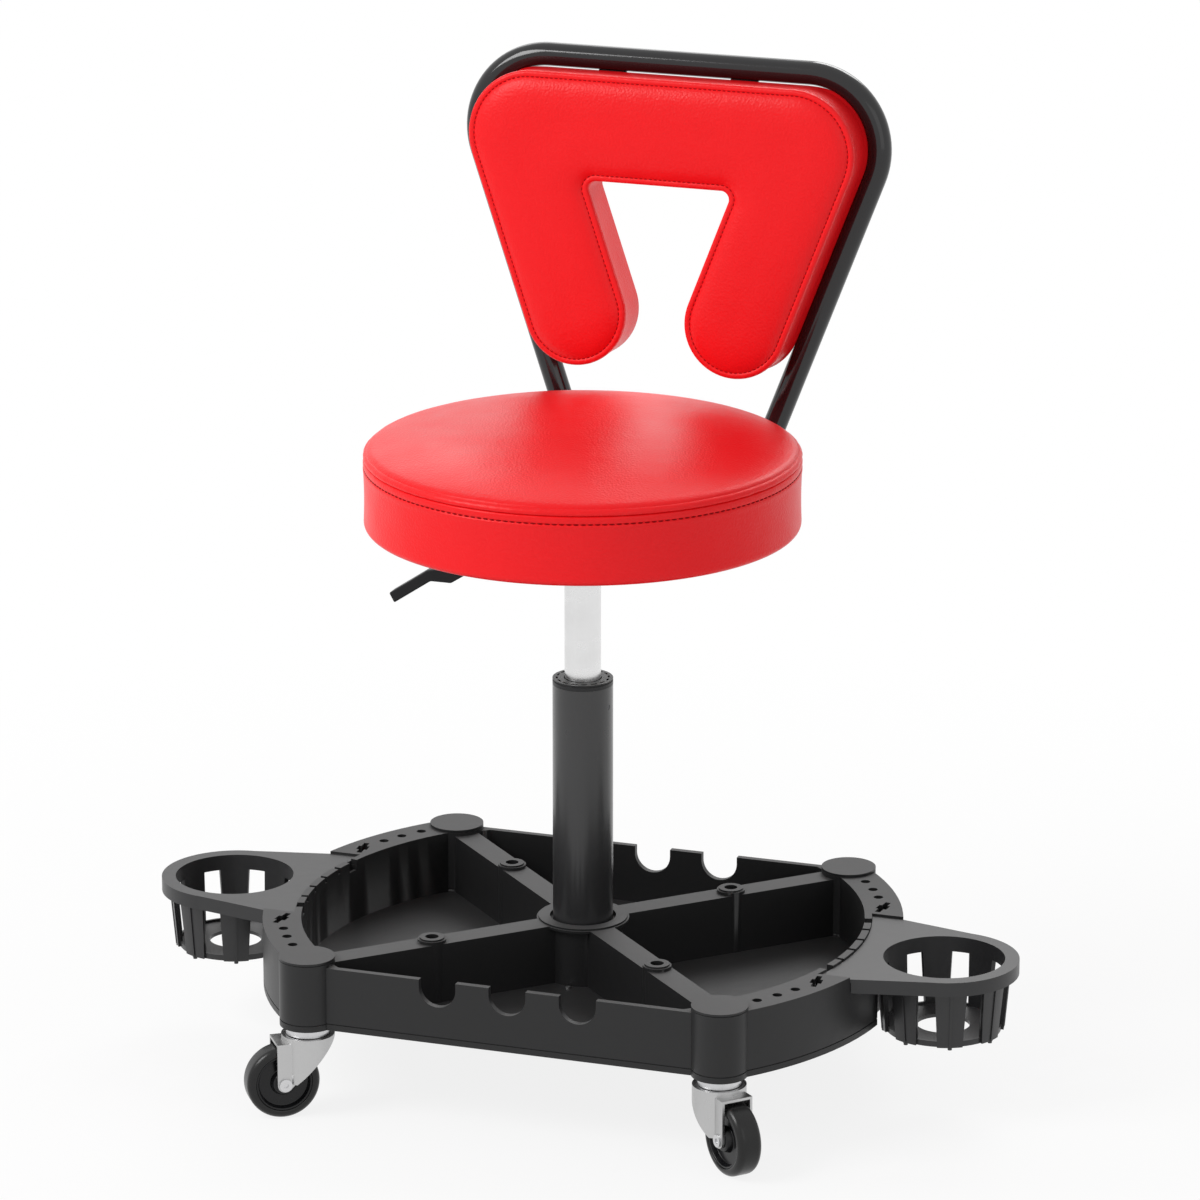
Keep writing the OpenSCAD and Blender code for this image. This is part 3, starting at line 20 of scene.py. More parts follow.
import bmesh
import bpy
import numpy as np
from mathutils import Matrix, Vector


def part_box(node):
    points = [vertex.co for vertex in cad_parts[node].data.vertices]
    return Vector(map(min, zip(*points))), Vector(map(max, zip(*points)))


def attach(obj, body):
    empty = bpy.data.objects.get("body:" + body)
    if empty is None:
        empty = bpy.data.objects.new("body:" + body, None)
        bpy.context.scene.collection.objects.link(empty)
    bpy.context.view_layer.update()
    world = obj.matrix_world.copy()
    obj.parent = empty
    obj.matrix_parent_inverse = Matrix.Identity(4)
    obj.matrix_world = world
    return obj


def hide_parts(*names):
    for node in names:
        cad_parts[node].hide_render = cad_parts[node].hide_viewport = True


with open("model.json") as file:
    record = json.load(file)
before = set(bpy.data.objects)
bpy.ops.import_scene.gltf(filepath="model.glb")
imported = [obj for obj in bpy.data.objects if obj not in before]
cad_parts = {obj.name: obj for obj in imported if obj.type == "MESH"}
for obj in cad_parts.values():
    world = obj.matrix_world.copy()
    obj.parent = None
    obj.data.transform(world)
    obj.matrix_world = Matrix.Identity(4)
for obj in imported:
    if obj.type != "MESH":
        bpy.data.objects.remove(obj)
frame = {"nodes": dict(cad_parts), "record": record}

LOG = logging.getLogger("workshop_seat")
MM = 0.001
SEAT_BODY = "seat"
MERGE_DISTANCE = 1e-6  # metres
FLAT_ANGLE = 0.2  # degrees
NOISE_RANGE = (0.3, 0.7)  # where nearly all of a noise's values lie
Triple = tuple[float, float, float]
Colour = Triple
Range = tuple[float, float]
Socket = bpy.types.NodeSocket


class Corner(Enum):
    """The four casters, each with the way its wheel trails, in degrees from +X."""

    FRONT_LEFT = 215.0
    FRONT_RIGHT = -42.0
    REAR_RIGHT = 120.0
    REAR_LEFT = 75.0

    @property
    def label(self) -> str:
        """Ending of the names of this caster's nodes."""
        return self.name.lower()


# Node trees


def background_ray(tree: bpy.types.NodeTree) -> Socket:
    """Is 1 for the rays that show the background: the camera's, and those that mirrors and glass
    send on.

    Args:
        tree: node tree that gets the nodes.

    Returns:
        The value, 0 or 1.
    """
    path = tree.nodes.new("ShaderNodeLightPath")
    direct = tree.nodes.new("ShaderNodeMath")
    either = tree.nodes.new("ShaderNodeMath")
    direct.operation = either.operation = "MAXIMUM"
    tree.links.new(path.outputs["Is Camera Ray"], direct.inputs[0])
    tree.links.new(path.outputs["Is Transmission Ray"], direct.inputs[1])
    tree.links.new(direct.outputs["Value"], either.inputs[0])
    tree.links.new(path.outputs["Is Glossy Ray"], either.inputs[1])
    return either.outputs["Value"]


class Shader:
    """One material's node tree, with short calls for the nodes that the finishes use."""

    def __init__(self, name: str) -> None:
        """Starts a material with a plain surface shader.

        Args:
            name: the material's name.
        """
        self.material = bpy.data.materials.new(name)
        self.material.use_nodes = True
        self.tree = self.material.node_tree
        self.surface = self.tree.nodes["Principled BSDF"]
        self.coords = self.tree.nodes.new("ShaderNodeTexCoord")

    @property
    def place(self) -> Socket:
        """Position in the object's own space, in metres."""
        return self.coords.outputs["Object"]

    @property
    def facing(self) -> Socket:
        """Normal in the object's own space."""
        return self.coords.outputs["Normal"]

    def join(self, source: Socket, target: Socket) -> None:
        """Links two sockets."""
        self.tree.links.new(source, target)

    def glow(self, where: Socket) -> None:
        """Mixes plain white light into the surface, for the rays that show the background only.

        Args:
            where: share of the white, from 0 to 1.
        """
        white = self.tree.nodes.new("ShaderNodeEmission")
        mix = self.tree.nodes.new("ShaderNodeMixShader")
        self.join(self.times(where, background_ray(self.tree)), mix.inputs["Fac"])
        self.join(self.surface.outputs["BSDF"], mix.inputs[1])
        self.join(white.outputs["Emission"], mix.inputs[2])
        self.join(mix.outputs["Shader"], self.tree.nodes["Material Output"].inputs["Surface"])

    def stretched(self, scale: Triple) -> Socket:
        """Object position with each axis scaled, so a pattern runs long along some of them.

        Args:
            scale: factor along X, Y and Z.

        Returns:
            The scaled position.
        """
        mapping = self.tree.nodes.new("ShaderNodeMapping")
        mapping.inputs["Scale"].default_value = scale
        self.join(self.place, mapping.inputs["Vector"])
        return mapping.outputs["Vector"]

    def noise(self, size: float, detail: float = 3.0, at: Socket | None = None) -> Socket:
        """Soft noise.

        Args:
            size: size of its patches in millimetres.
            detail: number of finer layers.
            at: position, or the object's own.

        Returns:
            The noise, from 0 to 1.
        """
        node = self.tree.nodes.new("ShaderNodeTexNoise")
        node.inputs["Scale"].default_value = 1.0 / (size * MM)
        node.inputs["Detail"].default_value = detail
        self.join(at or self.place, node.inputs["Vector"])
        return node.outputs["Fac"]

    def cells(self, size: float, smoothness: float = 0.6) -> Socket:
        """Distance to the nearest point of a scatter, as in leather grain.

        Args:
            size: size of a cell in millimetres.
            smoothness: how far the borders between cells are rounded.

        Returns:
            The distance, from 0 at a cell's middle.
        """
        node = self.tree.nodes.new("ShaderNodeTexVoronoi")
        node.feature = "SMOOTH_F1"
        node.inputs["Scale"].default_value = 1.0 / (size * MM)
        node.inputs["Smoothness"].default_value = smoothness
        self.join(self.place, node.inputs["Vector"])
        return node.outputs["Distance"]

    def span(self, value: Socket, source: Range, target: Range) -> Socket:
        """Maps one range of a value to another, and holds it at the ends.

        Args:
            value: the value.
            source: its range.
            target: what that becomes.

        Returns:
            The mapped value.
        """
        node = self.tree.nodes.new("ShaderNodeMapRange")
        node.inputs["From Min"].default_value, node.inputs["From Max"].default_value = source
        node.inputs["To Min"].default_value, node.inputs["To Max"].default_value = target
        self.join(value, node.inputs["Value"])
        return node.outputs["Result"]

    def times(self, a: Socket, b: Socket) -> Socket:
        """Product of two values."""
        node = self.tree.nodes.new("ShaderNodeMath")
        node.operation = "MULTIPLY"
        self.join(a, node.inputs[0])
        self.join(b, node.inputs[1])
        return node.outputs["Value"]

    def height_of(self, vector: Socket) -> Socket:
        """Z share of a vector."""
        node = self.tree.nodes.new("ShaderNodeSeparateXYZ")
        self.join(vector, node.inputs["Vector"])
        return node.outputs["Z"]

    def blend(self, share: Socket, low: Colour, high: Colour) -> Socket:
        """Colour between two, by a share.

        Args:
            share: 0 gives low, 1 gives high.
            low: first colour.
            high: second colour.

        Returns:
            The colour.
        """
        node = self.tree.nodes.new("ShaderNodeValToRGB")
        node.color_ramp.elements[0].color = (*low, 1.0)
        node.color_ramp.elements[1].color = (*high, 1.0)
        self.join(share, node.inputs["Fac"])
        return node.outputs["Color"]

    def relief(self, height: Socket, depth: float, under: Socket | None = None) -> Socket:
        """Bump from a height.

        Args:
            height: the height, from 0 to 1.
            depth: what 1 stands for, in millimetres.
            under: a normal that this one builds on.

        Returns:
            The normal.
        """
        node = self.tree.nodes.new("ShaderNodeBump")
        node.inputs["Distance"].default_value = depth * MM
        self.join(height, node.inputs["Height"])
        if under is not None:
            self.join(under, node.inputs["Normal"])
        return node.outputs["Normal"]


# Finishes


@dataclass(frozen=True)
class Finish:
    """What every finish shares: a colour that varies a little, and a gloss that does too."""

    name: str
    colour: Colour
    roughness: float
    metallic: float = 0.0
    shade: float = 0.06
    patch: float = 40.0
    coat: float = 0.0
    coat_roughness: float = 0.1
    specular: float = 0.5

    def tinted(self, factor: float) -> Colour:
        """The colour made darker or lighter by a factor."""
        return tuple(min(1.0, c * factor) for c in self.colour)

    def started(self) -> Shader:
        """Starts the shader with the metal share, coat and specular level.

        Returns:
            The shader, for the finish's own nodes.
        """
        shader = Shader(self.name)
        inputs = shader.surface.inputs
        inputs["Metallic"].default_value = self.metallic
        inputs["Coat Weight"].default_value = self.coat
        inputs["Coat Roughness"].default_value = self.coat_roughness
        inputs["Specular IOR Level"].default_value = self.specular
        return shader

    def tint(self, shader: Shader) -> None:
        """Lets the colour drift a little from patch to patch."""
        low, high = self.tinted(1.0 - self.shade), self.tinted(1.0 + self.shade)
        drift = shader.blend(shader.noise(self.patch), low, high)
        shader.join(drift, shader.surface.inputs["Base Color"])

    def gloss(self, shader: Shader, pattern: Socket, low: float = 0.9, high: float = 1.1) -> None:
        """Lets the roughness follow a pattern, between two shares of its own value."""
        spread = shader.span(pattern, NOISE_RANGE, (self.roughness * low, self.roughness * high))
        shader.join(spread, shader.surface.inputs["Roughness"])

    def uneven(self) -> Shader:
        """Shader whose colour and gloss both drift from patch to patch.

        Returns:
            The shader, for the finish's own nodes.
        """
        shader = self.started()
        self.tint(shader)
        self.gloss(shader, shader.noise(self.patch))
        return shader

    def material(self) -> bpy.types.Material:
        """Builds the material; each finish adds its own detail here."""
        return self.uneven().material


@dataclass(frozen=True)
class VinylFinish(Finish):
    """Upholstery vinyl: fine pebbled grain over soft unevenness of the foam below."""

    grain: float = 1.9
    grain_depth: float = 0.2
    pore: float = 0.57
    pore_depth: float = 0.08
    foam: float = 34.0
    foam_depth: float = 0.5

    def material(self) -> bpy.types.Material:
        """Adds the foam's unevenness, the grain and its pores as relief."""
        shader = self.uneven()
        foam = shader.relief(shader.noise(self.foam, 1.0), self.foam_depth)
        pebbles = shader.relief(shader.cells(self.grain), self.grain_depth, foam)
        pores = shader.relief(shader.noise(self.pore, 2.0), self.pore_depth, pebbles)
        shader.join(pores, shader.surface.inputs["Normal"])
        return shader.material


@dataclass(frozen=True)
class MouldedFinish(Finish):
    """Moulded plastic: satin on upright faces and rougher on those that face up. Faces that face
    up are also made paler, as a painted highlight of the light from above.

    The share of painted highlight and roughness grows with the upward lean of a face. Between the
    two heights of pale_above it grows from low_share to all of it, so that faces that face up low
    down keep painted shade.
    """

    grain: float = 0.9
    grain_depth: float = 0.05
    flow: float = 20.0
    flow_depth: float = 0.25
    # paler colour given to faces that face up: a painted highlight
    painted_highlight_colour: Colour = (0.05, 0.05, 0.05)
    top_roughness: float = 0.6
    top_lean: Range = (0.6, 0.95)
    pale_above: Range = (0.0, 1.0)
    low_share: float = 0.25

    def material(self) -> bpy.types.Material:
        """Grades colour and gloss by that share, the colour as painted highlight and painted
        shade, and adds the moulding's flow and the grain as relief."""
        shader = self.started()
        low, high = self.pale_above
        height = shader.height_of(shader.place)
        raised = shader.span(height, (low * MM, high * MM), (self.low_share, 1.0))
        lean = shader.span(shader.height_of(shader.facing), self.top_lean, (0.0, 1.0))
        # share of painted highlight on faces that face up, smaller low down where it leaves
        # painted shade; it also sets the roughness
        highlight_and_rough_share = shader.times(lean, raised)
        painted_light_colour = shader.blend(highlight_and_rough_share, self.colour, self.painted_highlight_colour)
        shader.join(painted_light_colour, shader.surface.inputs["Base Color"])
        dull = shader.span(highlight_and_rough_share, (0.0, 1.0), (self.roughness, self.top_roughness))
        shader.join(dull, shader.surface.inputs["Roughness"])
        flow = shader.relief(shader.noise(self.flow, 1.0), self.flow_depth)
        grain = shader.relief(shader.noise(self.grain, 4.0), self.grain_depth, flow)
        shader.join(grain, shader.surface.inputs["Normal"])
        return shader.material


@dataclass(frozen=True)
class PaintFinish(Finish):
    """Gloss paint or hard smooth plastic: a faint orange peel, with a clear coat on some."""

    peel: float = 3.0
    peel_depth: float = 0.02

    def material(self) -> bpy.types.Material:
        """Adds the orange peel as relief."""
        shader = self.uneven()
        peel = shader.relief(shader.noise(self.peel, 1.0), self.peel_depth)
        shader.join(peel, shader.surface.inputs["Normal"])
        return shader.material


@dataclass(frozen=True)
class DrawnMetalFinish(Finish):
    """Polished or ground metal with fine lines along one way.

    The lines are factors along the three axes that narrow patches of the size line_patch.
    """

    line_patch: float = 30.0
    lines: Triple = (60.0, 60.0, 3.0)
    line_depth: float = 0.004

    def material(self) -> bpy.types.Material:
        """Adds the lines as relief and as a slight change of gloss."""
        shader = self.started()
        self.tint(shader)
        marks = shader.noise(self.line_patch, 4.0, shader.stretched(self.lines))
        self.gloss(shader, marks, 0.8, 1.25)
        shader.join(shader.relief(marks, self.line_depth), shader.surface.inputs["Normal"])
        return shader.material


@dataclass(frozen=True)
class PlatedFinish(Finish):
    """Zinc plated pressing: cloudy patches in its gloss and relief."""

    cloud: float = 9.0
    cloud_depth: float = 0.02

    def material(self) -> bpy.types.Material:
        """Adds the clouds to the gloss and the relief."""
        shader = self.started()
        self.tint(shader)
        clouds = shader.noise(self.cloud, 5.0)
        self.gloss(shader, clouds, 0.75, 1.35)
        shader.join(shader.relief(clouds, self.cloud_depth), shader.surface.inputs["Normal"])
        return shader.material


@dataclass(frozen=True)
class PlywoodFinish(Finish):
    """Plywood: long grain on the faces and dark glue lines on the edges.

    WAVE_PERIOD is the distance at which the wave texture repeats at a scale of 1, in metres.
    """

    WAVE_PERIOD: ClassVar[float] = 0.314

    glue: Colour = (0.2, 0.11, 0.05)
    ply: float = 1.6
    ply_bend: float = 0.4
    glue_width: Range = (0.0, 0.35)
    glue_share: Range = (0.4, 1.0)
    grain: float = 40.0
    grain_narrow: Triple = (1.0, 14.0, 14.0)
    grain_depth: float = 0.08
    contrast: Range = (0.15, 0.65)

    def material(self) -> bpy.types.Material:
        """Mixes the grain and the glue lines into the colour."""
        shader = self.started()
        self.gloss(shader, shader.noise(self.patch))
        grain = shader.noise(self.grain, 6.0, shader.stretched(self.grain_narrow))
        wave = shader.tree.nodes.new("ShaderNodeTexWave")
        wave.bands_direction = "Z"
        wave.inputs["Scale"].default_value = self.WAVE_PERIOD / (self.ply * MM)
        wave.inputs["Distortion"].default_value = self.ply_bend
        shader.join(shader.place, wave.inputs["Vector"])
        plies = shader.span(wave.outputs["Fac"], self.glue_width, self.glue_share)
        mixed = shader.span(shader.times(grain, plies), self.contrast, (0.0, 1.0))
        shade = shader.blend(mixed, self.glue, self.colour)
        shader.join(shade, shader.surface.inputs["Base Color"])
        relief = shader.relief(grain, self.grain_depth)
        shader.join(relief, shader.surface.inputs["Normal"])
        return shader.material


class Finishes:
    """Every finish of the seat."""

    vinyl: ClassVar[VinylFinish] = VinylFinish(
        "red_vinyl", (0.90, 0.008, 0.012), 0.34, shade=0.015, specular=0.23
    )
    thread: ClassVar[Finish] = Finish(
        "red_thread", (0.38, 0.004, 0.007), 0.7, patch=4.0, specular=0.1
    )
    # The seat's stitches: the red thread darkened, a painted shade for stitches that sit in their
    # groove.
    dark_thread: ClassVar[Finish] = Finish(
        "dark_thread", (0.26, 0.003, 0.005), 0.7, patch=4.0, specular=0.08
    )
    # The paler top colours of the moulded finishes below are painted highlight on faces that face
    # up.
    tray: ClassVar[MouldedFinish] = MouldedFinish(
        "tray_plastic", (0.012, 0.012, 0.0125), 0.42, specular=0.36,
        painted_highlight_colour=(0.052, 0.052, 0.053), pale_above=(95.0, 118.0),
    )
    cup: ClassVar[MouldedFinish] = MouldedFinish(
        "cup_plastic", (0.016, 0.016, 0.017), 0.38,
        painted_highlight_colour=(0.03, 0.03, 0.031), top_roughness=0.48,
    )
    cap: ClassVar[MouldedFinish] = MouldedFinish(
        "cap_plastic", (0.008, 0.008, 0.009), 0.38, specular=0.4,
        painted_highlight_colour=(0.012, 0.012, 0.013), top_roughness=0.4,
    )
    bush: ClassVar[MouldedFinish] = MouldedFinish(
        "bush_plastic", (0.07, 0.07, 0.072), 0.45,
        painted_highlight_colour=(0.08, 0.08, 0.082), top_roughness=0.5,
    )
    lever: ClassVar[MouldedFinish] = MouldedFinish(
        "lever_plastic", (0.008, 0.008, 0.009), 0.34, specular=0.22,
        painted_highlight_colour=(0.022, 0.022, 0.023), top_roughness=0.45,
    )
    rubber: ClassVar[MouldedFinish] = MouldedFinish(
        "plug_rubber", (0.015, 0.015, 0.015), 0.6, top_roughness=0.65
    )
    paint: ClassVar[PaintFinish] = PaintFinish("frame_paint", (0.009, 0.009, 0.010), 0.12)
    column: ClassVar[PaintFinish] = PaintFinish(
        "column_black", (0.022, 0.022, 0.023), 0.3, coat=0.35, coat_roughness=0.18
    )
    wheel: ClassVar[PaintFinish] = PaintFinish(
        "wheel_core", (0.008, 0.008, 0.009), 0.2, specular=0.3
    )
    tyre: ClassVar[PaintFinish] = PaintFinish(
        "tyre_black", (0.008, 0.008, 0.008), 0.26, specular=0.34
    )
    cylinder: ClassVar[DrawnMetalFinish] = DrawnMetalFinish(
        "cylinder_steel", (0.76, 0.76, 0.76), 0.3, metallic=1.0, shade=0.005,
        lines=(1.0, 1.0, 3.0), line_depth=0.0002,
    )
    rod: ClassVar[DrawnMetalFinish] = DrawnMetalFinish(
        "rod_steel", (0.72, 0.72, 0.73), 0.12, metallic=1.0, shade=0.02
    )
    bearing: ClassVar[DrawnMetalFinish] = DrawnMetalFinish(
        "bearing_steel", (0.66, 0.66, 0.66), 0.16, metallic=1.0, shade=0.02
    )
    brass: ClassVar[DrawnMetalFinish] = DrawnMetalFinish(
        "brass", (0.70, 0.50, 0.22), 0.26, metallic=1.0
    )
    dark_steel: ClassVar[PlatedFinish] = PlatedFinish(
        "dark_steel", (0.10, 0.10, 0.105), 0.42, metallic=0.8
    )
    zinc: ClassVar[PlatedFinish] = PlatedFinish(
        "zinc_steel", (0.62, 0.62, 0.63), 0.3, metallic=1.0
    )
    fork: ClassVar[PlatedFinish] = PlatedFinish(
        "fork_zinc", (0.50, 0.50, 0.50), 0.34, metallic=1.0, shade=0.04
    )
    plywood: ClassVar[PlywoodFinish] = PlywoodFinish("plywood", (0.55, 0.38, 0.2), 0.62)

    @classmethod
    def by_name(cls) -> dict[str, bpy.types.Material]:
        """Builds every material once.

        Returns:
            The materials, by the finish's name.
        """
        return {f.name: f.material() for f in vars(cls).values() if isinstance(f, Finish)}


# Surfaces


def ladder(rows: int, cols: int, ring_rows: bool = False, ring_cols: bool = True) -> np.ndarray:
    """Quads of a grid: corner (i, j) joins (i+1, j), (i+1, j+1) and (i, j+1).

    Args:
        rows: number of rows of points.
        cols: number of points in a row.
        ring_rows: whether the last row joins the first.
        ring_cols: whether each row closes on itself.

    Returns:
        Array of quads, as indices of the points in row order.
    """
    i, j = np.meshgrid(
        np.arange(rows if ring_rows else rows - 1),
        np.arange(cols if ring_cols else cols - 1),
        indexing="ij",
    )
    i2, j2 = (i + 1) % rows, (j + 1) % cols
    quads = np.stack([i * cols + j, i2 * cols + j, i2 * cols + j2, i * cols + j2], -1)
    return quads.reshape(-1, 4)


def make_piece(name: str, points: np.ndarray, faces: Sequence[np.ndarray]) -> bpy.types.Object:
    """Puts points and faces into a new smooth mesh, with its faces turned outwards.

    Args:
        name: the piece's name.
        points: array of points in millimetres.
        faces: arrays of faces, each array with one number of corners.

    Returns:
        The new object, at the origin.
    """
    corners = np.concatenate([f.reshape(-1) for f in faces]).astype(np.int32)
    sizes = np.concatenate([np.full(len(f), f.shape[1]) for f in faces])
    starts = np.concatenate([[0], np.cumsum(sizes)[:-1]]).astype(np.int32)
    mesh = bpy.data.meshes.new(name)
    mesh.vertices.add(len(points))
    mesh.vertices.foreach_set("co", (np.asarray(points) * MM).astype(np.float32).ravel())
    mesh.loops.add(len(corners))
    mesh.loops.foreach_set("vertex_index", corners)
    mesh.polygons.add(len(starts))
    mesh.polygons.foreach_set("loop_start", starts)
    mesh.update(calc_edges=True)
    mesh.validate()
    shell = bmesh.new()
    shell.from_mesh(mesh)
    bmesh.ops.recalc_face_normals(shell, faces=shell.faces)
    shell.to_mesh(mesh)
    shell.free()
    mesh.shade_smooth()
    piece = bpy.data.objects.new(name, mesh)
    bpy.context.scene.collection.objects.link(piece)
    return piece


def smooth_line(knots: np.ndarray, per_span: int) -> np.ndarray:
    """Curve through knots. Between two of them it is the cubic whose slope at each end is half the
    way between that knot's two neighbours.

    Args:
        knots: array of points.
        per_span: number of points from one knot to the next.

    Returns:
        Array of points that ends on the last knot.
    """
    p = np.asarray(knots, float)
    slope = np.gradient(p, axis=0)
    t = np.linspace(0.0, 1.0, per_span, endpoint=False)[None, :, None]
    a, b, m, n = p[:-1, None], p[1:, None], slope[:-1, None], slope[1:, None]
    curve = (
        a * (2 * t**3 - 3 * t**2 + 1) + b * (3 * t**2 - 2 * t**3)
        + m * (t**3 - 2 * t**2 + t) + n * (t**3 - t**2)
    )
    return np.concatenate([curve.reshape(-1, p.shape[1]), p[-1:]])


def full_turn(steps: int) -> np.ndarray:
    """Even angles of one full turn, from 0, in radians."""
    return np.linspace(0.0, 2 * np.pi, steps, endpoint=False)


def arc_line(
    centre: Sequence[float], radius: float, start: float, end: float, steps: int
) -> np.ndarray:
    """Points of a circle's arc: centre + radius (cos a, sin a).

    Args:
        centre: the circle's centre.
        radius: its radius.
        start: first angle in degrees.
        end: last angle in degrees.
        steps: number of steps between them.

    Returns:
        Array of points.
    """
    a = np.radians(np.linspace(start, end, steps + 1))
    return np.asarray(centre, float) + radius * np.stack([np.cos(a), np.sin(a)], -1)


def circles(profile: np.ndarray, segments: int) -> np.ndarray:
    """Circles that a profile's points draw when it turns: point (r, z) at angle a becomes
    (r cos a, r sin a, z).

    Args:
        profile: array of (r, z).
        segments: number of steps round.

    Returns:
        Array of points, circle after circle.
    """
    a = full_turn(segments)
    r, z = profile[:, 0, None], profile[:, 1, None]
    rings = np.stack([r * np.cos(a), r * np.sin(a), np.broadcast_to(z, (len(r), segments))], -1)
    return rings.reshape(-1, 3)


def turned(profile: np.ndarray, segments: int) -> tuple[np.ndarray, list[np.ndarray]]:
    """Turns an open profile that starts and ends on the axis, where each end is one pole.

    Args:
        profile: array of (r, z) from pole to pole.
        segments: number of steps round.

    Returns:
        The points, and their faces as quads and triangles.
    """
    inner = profile[1:-1]
    poles = np.array([[0.0, 0.0, profile[0, 1]], [0.0, 0.0, profile[-1, 1]]])
    points = np.concatenate([circles(inner, segments), poles])
    j = np.arange(segments)
    k = (j + 1) % segments
    pole = len(inner) * segments
    last = pole - segments
    fans = [
        np.stack([np.full(segments, pole), j, k], -1),
        np.stack([last + j, np.full(segments, pole + 1), last + k], -1),
    ]
    return points, [ladder(len(inner), segments), *fans]


def turned_ring(section: np.ndarray, segments: int) -> tuple[np.ndarray, list[np.ndarray]]:
    """Turns a closed section about the axis into a ring.

    Args:
        section: array of (r, z) round the section.
        segments: number of steps round.

    Returns:
        The points and their quads.
    """
    return circles(section, segments), [ladder(len(section), segments, ring_rows=True)]


def rounded(corners: np.ndarray, radius: float, steps: int = 4) -> np.ndarray:
    """Closed outline with each corner cut by a small curve, from the point at the radius before
    the corner to the one after it. The curve is a (1-t)^2 + 2 c t (1-t) + b t^2, with c the corner
    and a and b those two points.

    Args:
        corners: array of corners round the outline.
        radius: length cut from each side, at most a third of the shorter side.
        steps: number of steps in each curve.

    Returns:
        Array of points round the outline.
    """
    back, ahead = np.roll(corners, 1, 0) - corners, np.roll(corners, -1, 0) - corners
    back_len, ahead_len = np.linalg.norm(back, axis=1), np.linalg.norm(ahead, axis=1)
    cut = np.minimum(radius, np.minimum(back_len, ahead_len) / 3)[:, None]
    a = (corners + back / back_len[:, None] * cut)[:, None]
    b = (corners + ahead / ahead_len[:, None] * cut)[:, None]
    t = np.linspace(0.0, 1.0, steps + 1)[None, :, None]
    curve = a * (1 - t) ** 2 + 2 * corners[:, None] * t * (1 - t) + b * t**2
    return curve.reshape(-1, corners.shape[1])


def unit(vectors: np.ndarray) -> np.ndarray:
    """Vectors of length one along the given ones."""
    return vectors / np.linalg.norm(vectors, axis=-1, keepdims=True)


def swept_circle(path: np.ndarray, radius: float, sides: int) -> np.ndarray:
    """Rings of a circle carried along a path: path + radius (s cos a + (d x s) sin a), where d is
    the path's direction and s a side vector carried along it without twist.

    Args:
        path: array of points.
        radius: radius of the circle.
        sides: number of points round it.

    Returns:
        Array of rings, points of a ring, and coordinates.
    """
    ahead = unit(np.gradient(path, axis=0))
    first = unit(np.cross(ahead[0], [0.0, 0.0, 1.0]))
    carried = accumulate(ahead[1:], lambda s, d: unit(s - d * (s @ d)), initial=first)
    side = np.array(list(carried))
    lift = np.cross(ahead, side)
    a = full_turn(sides)[None, :, None]
    return path[:, None] + radius * (side[:, None] * np.cos(a) + lift[:, None] * np.sin(a))


@dataclass(frozen=True)
class Thread:
    """A row of sewn stitches, each a small closed capsule that dips into the cover at its ends.

    A stitch is six-sided, and two quads close each of its ends.
    """

    SIDES: ClassVar[int] = 6
    ENDS: ClassVar[np.ndarray] = np.array([[0, 1, 2, 3], [0, 3, 4, 5]])

    pitch: float
    length: float
    thickness: float
    rings: int = 4
    dip: float = 0.35
    taper: float = 0.8
    look_ahead: float = 0.5

    @staticmethod
    def at(spots: np.ndarray, lengths: np.ndarray, values: np.ndarray) -> np.ndarray:
        """Points or vectors between those of a line, at the given lengths along it."""
        return np.stack([np.interp(spots, lengths, values[:, k]) for k in range(3)], -1)

    def along(self, line: np.ndarray, outward: np.ndarray) -> tuple[np.ndarray, np.ndarray]:
        """Stitches at even steps round a closed line. Along a stitch x runs from -1 to 1; its
        centre sinks by dip x^2 and its radius is half the thickness times the root of
        1 - taper x^2.

        Args:
            line: array of points of the seam, without its first point again at the end.
            outward: the surface's normal at each.

        Returns:
            The points and the faces of all stitches, the faces as quads.
        """
        loop = np.concatenate([line, line[:1]])
        normals = np.concatenate([outward, outward[:1]])
        gaps = np.linalg.norm(np.diff(loop, axis=0), axis=1)
        lengths = np.concatenate([[0.0], np.cumsum(gaps)])
        count = int(lengths[-1] / self.pitch)
        spots = (np.arange(count) + 0.5) * lengths[-1] / count
        centre = self.at(spots, lengths, loop)
        up = unit(self.at(spots, lengths, normals))
        ahead = self.at(spots + self.look_ahead, lengths, loop) - centre
        ahead = unit(ahead - up * (ahead * up).sum(-1, keepdims=True))
        side = np.cross(ahead, up)
        x = np.linspace(-1.0, 1.0, self.rings)
        a = full_turn(self.SIDES)
        r = self.thickness / 2 * np.sqrt(1 - self.taper * x**2)
        forward = (x * self.length / 2)[:, None] * np.ones(self.SIDES)
        across = r[:, None] * np.cos(a)
        above = r[:, None] * np.sin(a) - (self.dip * x**2)[:, None]
        points = (
            centre[:, None, None]
            + forward[None, ..., None] * ahead[:, None, None]
            + across[None, ..., None] * side[:, None, None]
            + above[None, ..., None] * up[:, None, None]
        )
        size = self.rings * self.SIDES
        walls = ladder(self.rings, self.SIDES)
        faces = np.concatenate([walls, self.ENDS, self.ENDS + size - self.SIDES])
        shifted = (np.arange(count) * size)[:, None, None] + faces[None]
        return points.reshape(-1, 3), shifted.reshape(-1, 4)


# Pieces


